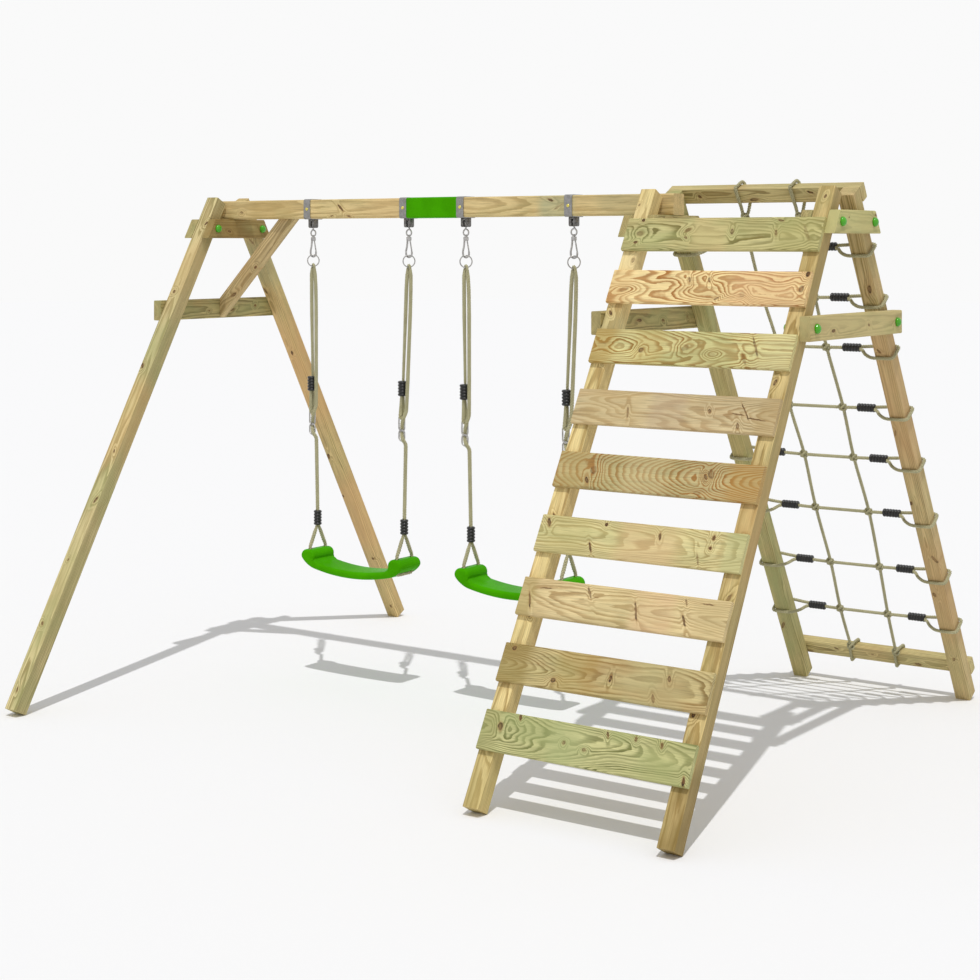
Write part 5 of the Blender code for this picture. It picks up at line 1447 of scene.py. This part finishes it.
class SWINGSET_OT_net_uprights(bpy.types.Operator):
    """Lay the net's two upright ropes, their knots and their ties round the rails"""

    bl_idname = "swing_set.net_uprights"
    bl_label = "Net Uprights"

    def execute(self, context):
        look = context.scene.swing_rope
        radius, lay = look.net_radius, look.net_lay
        spot, leg_length, rows, _, middle = net_frame()
        rail_top = leg_length - RAIL_END - RAIL_WIDTH
        top_apex, bottom_apex = RAIL_WIDTH + TIE_APEX, rail_top - 0.022
        clear = radius + 0.0003
        half, back, front = RAIL_WIDTH / 2 + clear, RAIL_THICKNESS + 0.0003 + clear, 0.0003 - clear
        # Round a rail: to the side in centimetres, towards the apex and out
        route = ((-1.0, half, front), (-1.6, 0.006 - half, front), (-1.6, -half, front + 0.006),
                 (-1.0, -half, back - 0.006), (-0.4, 0.006 - half, back),
                 (1.0, half - 0.006, back), (1.0, half, back - 0.006))
        meshes = []
        for x, shifts, top_shift, foot_shift in zip(UPRIGHTS, WANDER, TOP_TIE_SHIFT,
                                                    FOOT_TIE_SHIFT):
            x += middle
            top_x, foot_x = x + top_shift, x + foot_shift
            line = [spot(top_x, top_apex - 0.004, NET_PLANE)]
            line += [spot(x + shift, down, NET_PLANE + 0.003)
                     for shift, down in zip(shifts, rows)]
            line.append(spot(foot_x, bottom_apex + 0.004, NET_PLANE))
            meshes.append(lay_strands(line, radius, lay))
            for tie_x, start, apex in ((top_x, 0.0, top_apex), (foot_x, rail_top, bottom_apex)):
                over = 1 if apex > start else -1
                loop = [spot(tie_x, apex, NET_PLANE + radius / 2)]
                loop += [spot(tie_x + drift * 0.010, start + RAIL_WIDTH / 2 + over * down, out)
                         for drift, down, out in route]
                meshes.append(lay_strands(loop, radius, lay, closed=True))
                meshes += wrap_knot(spot(tie_x, apex - over * 0.004, NET_PLANE), radius, lay)
            for shift, down in zip(shifts, rows):
                meshes += wrap_knot(spot(x + shift, down + 0.003, NET_PLANE), radius, lay)
        new_piece("net_upright_ropes", join_meshes(meshes), "frame",
                  finishes(context)["laid_hemp_rope"], ("climbing_net",))
        return {"FINISHED"}


def wrap_knot(centre, radius, lay):
    """A crossing knot: one loop of rope wound each way over the two ropes that meet in it."""
    slope, outward = sloped(1)
    meshes = []
    for turn in (-1, 1):
        across = (AXIS_X + slope * turn).normalized()
        side = (AXIS_X - slope * turn).normalized()
        loop = []
        for step in range(12):
            angle = math.tau * step / 12
            loop.append(centre + outward * math.cos(angle) * radius * 1.5
                        + across * math.sin(angle) * radius * 1.9
                        + side * math.cos(angle) * radius * 0.5)
        meshes.append(lay_strands(loop, radius * 0.8, lay * 0.6, closed=True))
    return meshes


# Direction to the lamp, from the lengths and places of the shadows on the floor
TO_LAMP = Vector((0.242, -0.317, 1.0)).normalized()
CAMERA_PLACE = (4.7539, -6.8160, 2.0543)
CAMERA_TURN = math.radians(35.18)
FLOOR_RADIUS = 60.0
# In millimetres
SENSOR_WIDTH = 36.0


class SWINGSET_OT_stage(bpy.types.Operator):
    """Set the pale floor, the backdrop, the lamp and the camera"""

    bl_idname = "swing_set.stage"
    bl_label = "Stage"

    def execute(self, context):
        look, scene = context.scene.swing_stage, context.scene

        def stand(name, data):
            item = bpy.data.objects.new(name, data)
            scene.collection.objects.link(item)
            return item

        bm = bmesh.new()
        bmesh.ops.create_circle(bm, cap_ends=True, segments=look.floor_sides,
                                radius=FLOOR_RADIUS)
        mesh = as_mesh(bm, "pale_floor")
        # Matt photographic paper: no shine, so the horizon melts into the backdrop
        tone = (look.paper, look.paper, look.paper * 1.008, 1.0)
        mesh.materials.append(Finish("matt_paper", Roughness=1.0, Specular_IOR_Level=0.0,
                                     Base_Color=tone).material)
        floor = stand("pale_floor", mesh)
        floor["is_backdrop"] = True

        lamp = bpy.data.lights.new("studio_lamp", "SUN")
        lamp.angle = look.sun_spread
        # The lamp and the even light together bring the paper to the backdrop's brightness
        lamp.energy = (look.backdrop / look.paper - look.sky) * math.pi / TO_LAMP.z
        stand("studio_lamp", lamp).rotation_euler = TO_LAMP.to_track_quat("Z", "Y").to_euler()

        world = bpy.data.worlds.new("studio")
        scene.world = world
        world.use_nodes = True
        nodes = Nodes(world.node_tree)
        path = nodes.add("LightPath", {}).outputs
        seen = nodes.maths("MAXIMUM", path["Is Camera Ray"], path["Is Glossy Ray"])
        seen = nodes.maths("MAXIMUM", seen, path["Is Transmission Ray"])
        background = nodes.tree.nodes["Background"].inputs
        nodes.feed(background["Strength"],
                   nodes.maths("MULTIPLY_ADD", seen, look.backdrop - look.sky, look.sky))
        nodes.feed(background["Color"], (1.0, 1.0, 1.0, 1.0))

        camera = bpy.data.cameras.new("camera")
        camera.lens = look.lens
        camera.sensor_width = SENSOR_WIDTH
        camera.shift_y = look.shift
        camera.clip_end = 500.0
        seat = stand("camera", camera)
        seat.location = CAMERA_PLACE
        seat.rotation_euler = (math.pi / 2, 0.0, CAMERA_TURN)
        scene.camera = seat
        scene.view_settings.view_transform = "Standard"
        return {"FINISHED"}


STEPS = (SWINGSET_OT_stage, SWINGSET_OT_legs, SWINGSET_OT_crossbars, SWINGSET_OT_beam,
         SWINGSET_OT_boards, SWINGSET_OT_rails, SWINGSET_OT_bolts, SWINGSET_OT_hangers,
         SWINGSET_OT_beam_wrap, SWINGSET_OT_snap_hooks, SWINGSET_OT_rings, SWINGSET_OT_ropes,
         SWINGSET_OT_seats, SWINGSET_OT_net_rows, SWINGSET_OT_net_uprights)
LOOKS = {"swing_timber": TimberLook, "swing_rope": RopeLook, "swing_plastic": PlasticLook,
         "swing_metal": MetalLook, "swing_stage": StageLook}


class SWINGSET_PT_panel(bpy.types.Panel):
    """Lists the swing set's pieces in the sidebar"""

    bl_idname = "SWINGSET_PT_panel"
    bl_label = "Swing Set"
    bl_space_type = "VIEW_3D"
    bl_region_type = "UI"
    bl_category = "Swing Set"

    def draw(self, context):
        column = self.layout.column(align=True)
        for step in STEPS:
            column.operator(step.bl_idname)
        for name, look in LOOKS.items():
            box = self.layout.box()
            settings = getattr(context.scene, name)
            for setting in look.__annotations__:
                box.prop(settings, setting)


def register():
    for kind in (*LOOKS.values(), *STEPS, SWINGSET_PT_panel):
        bpy.utils.register_class(kind)
    for name, look in LOOKS.items():
        setattr(bpy.types.Scene, name, PointerProperty(type=look))


def unregister():
    for name in LOOKS:
        delattr(bpy.types.Scene, name)
    for kind in reversed((*LOOKS.values(), *STEPS, SWINGSET_PT_panel)):
        bpy.utils.unregister_class(kind)


def main():
    register()
    for step in STEPS:
        group, name = step.bl_idname.split(".")
        getattr(getattr(bpy.ops, group), name)()
    boxes = {"cad": CAD_BOX, "visual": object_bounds()}
    ({name: [[float(value) for value in corner] for corner in box]
               for name, box in boxes.items()})


if __name__ == "__main__":
    main()
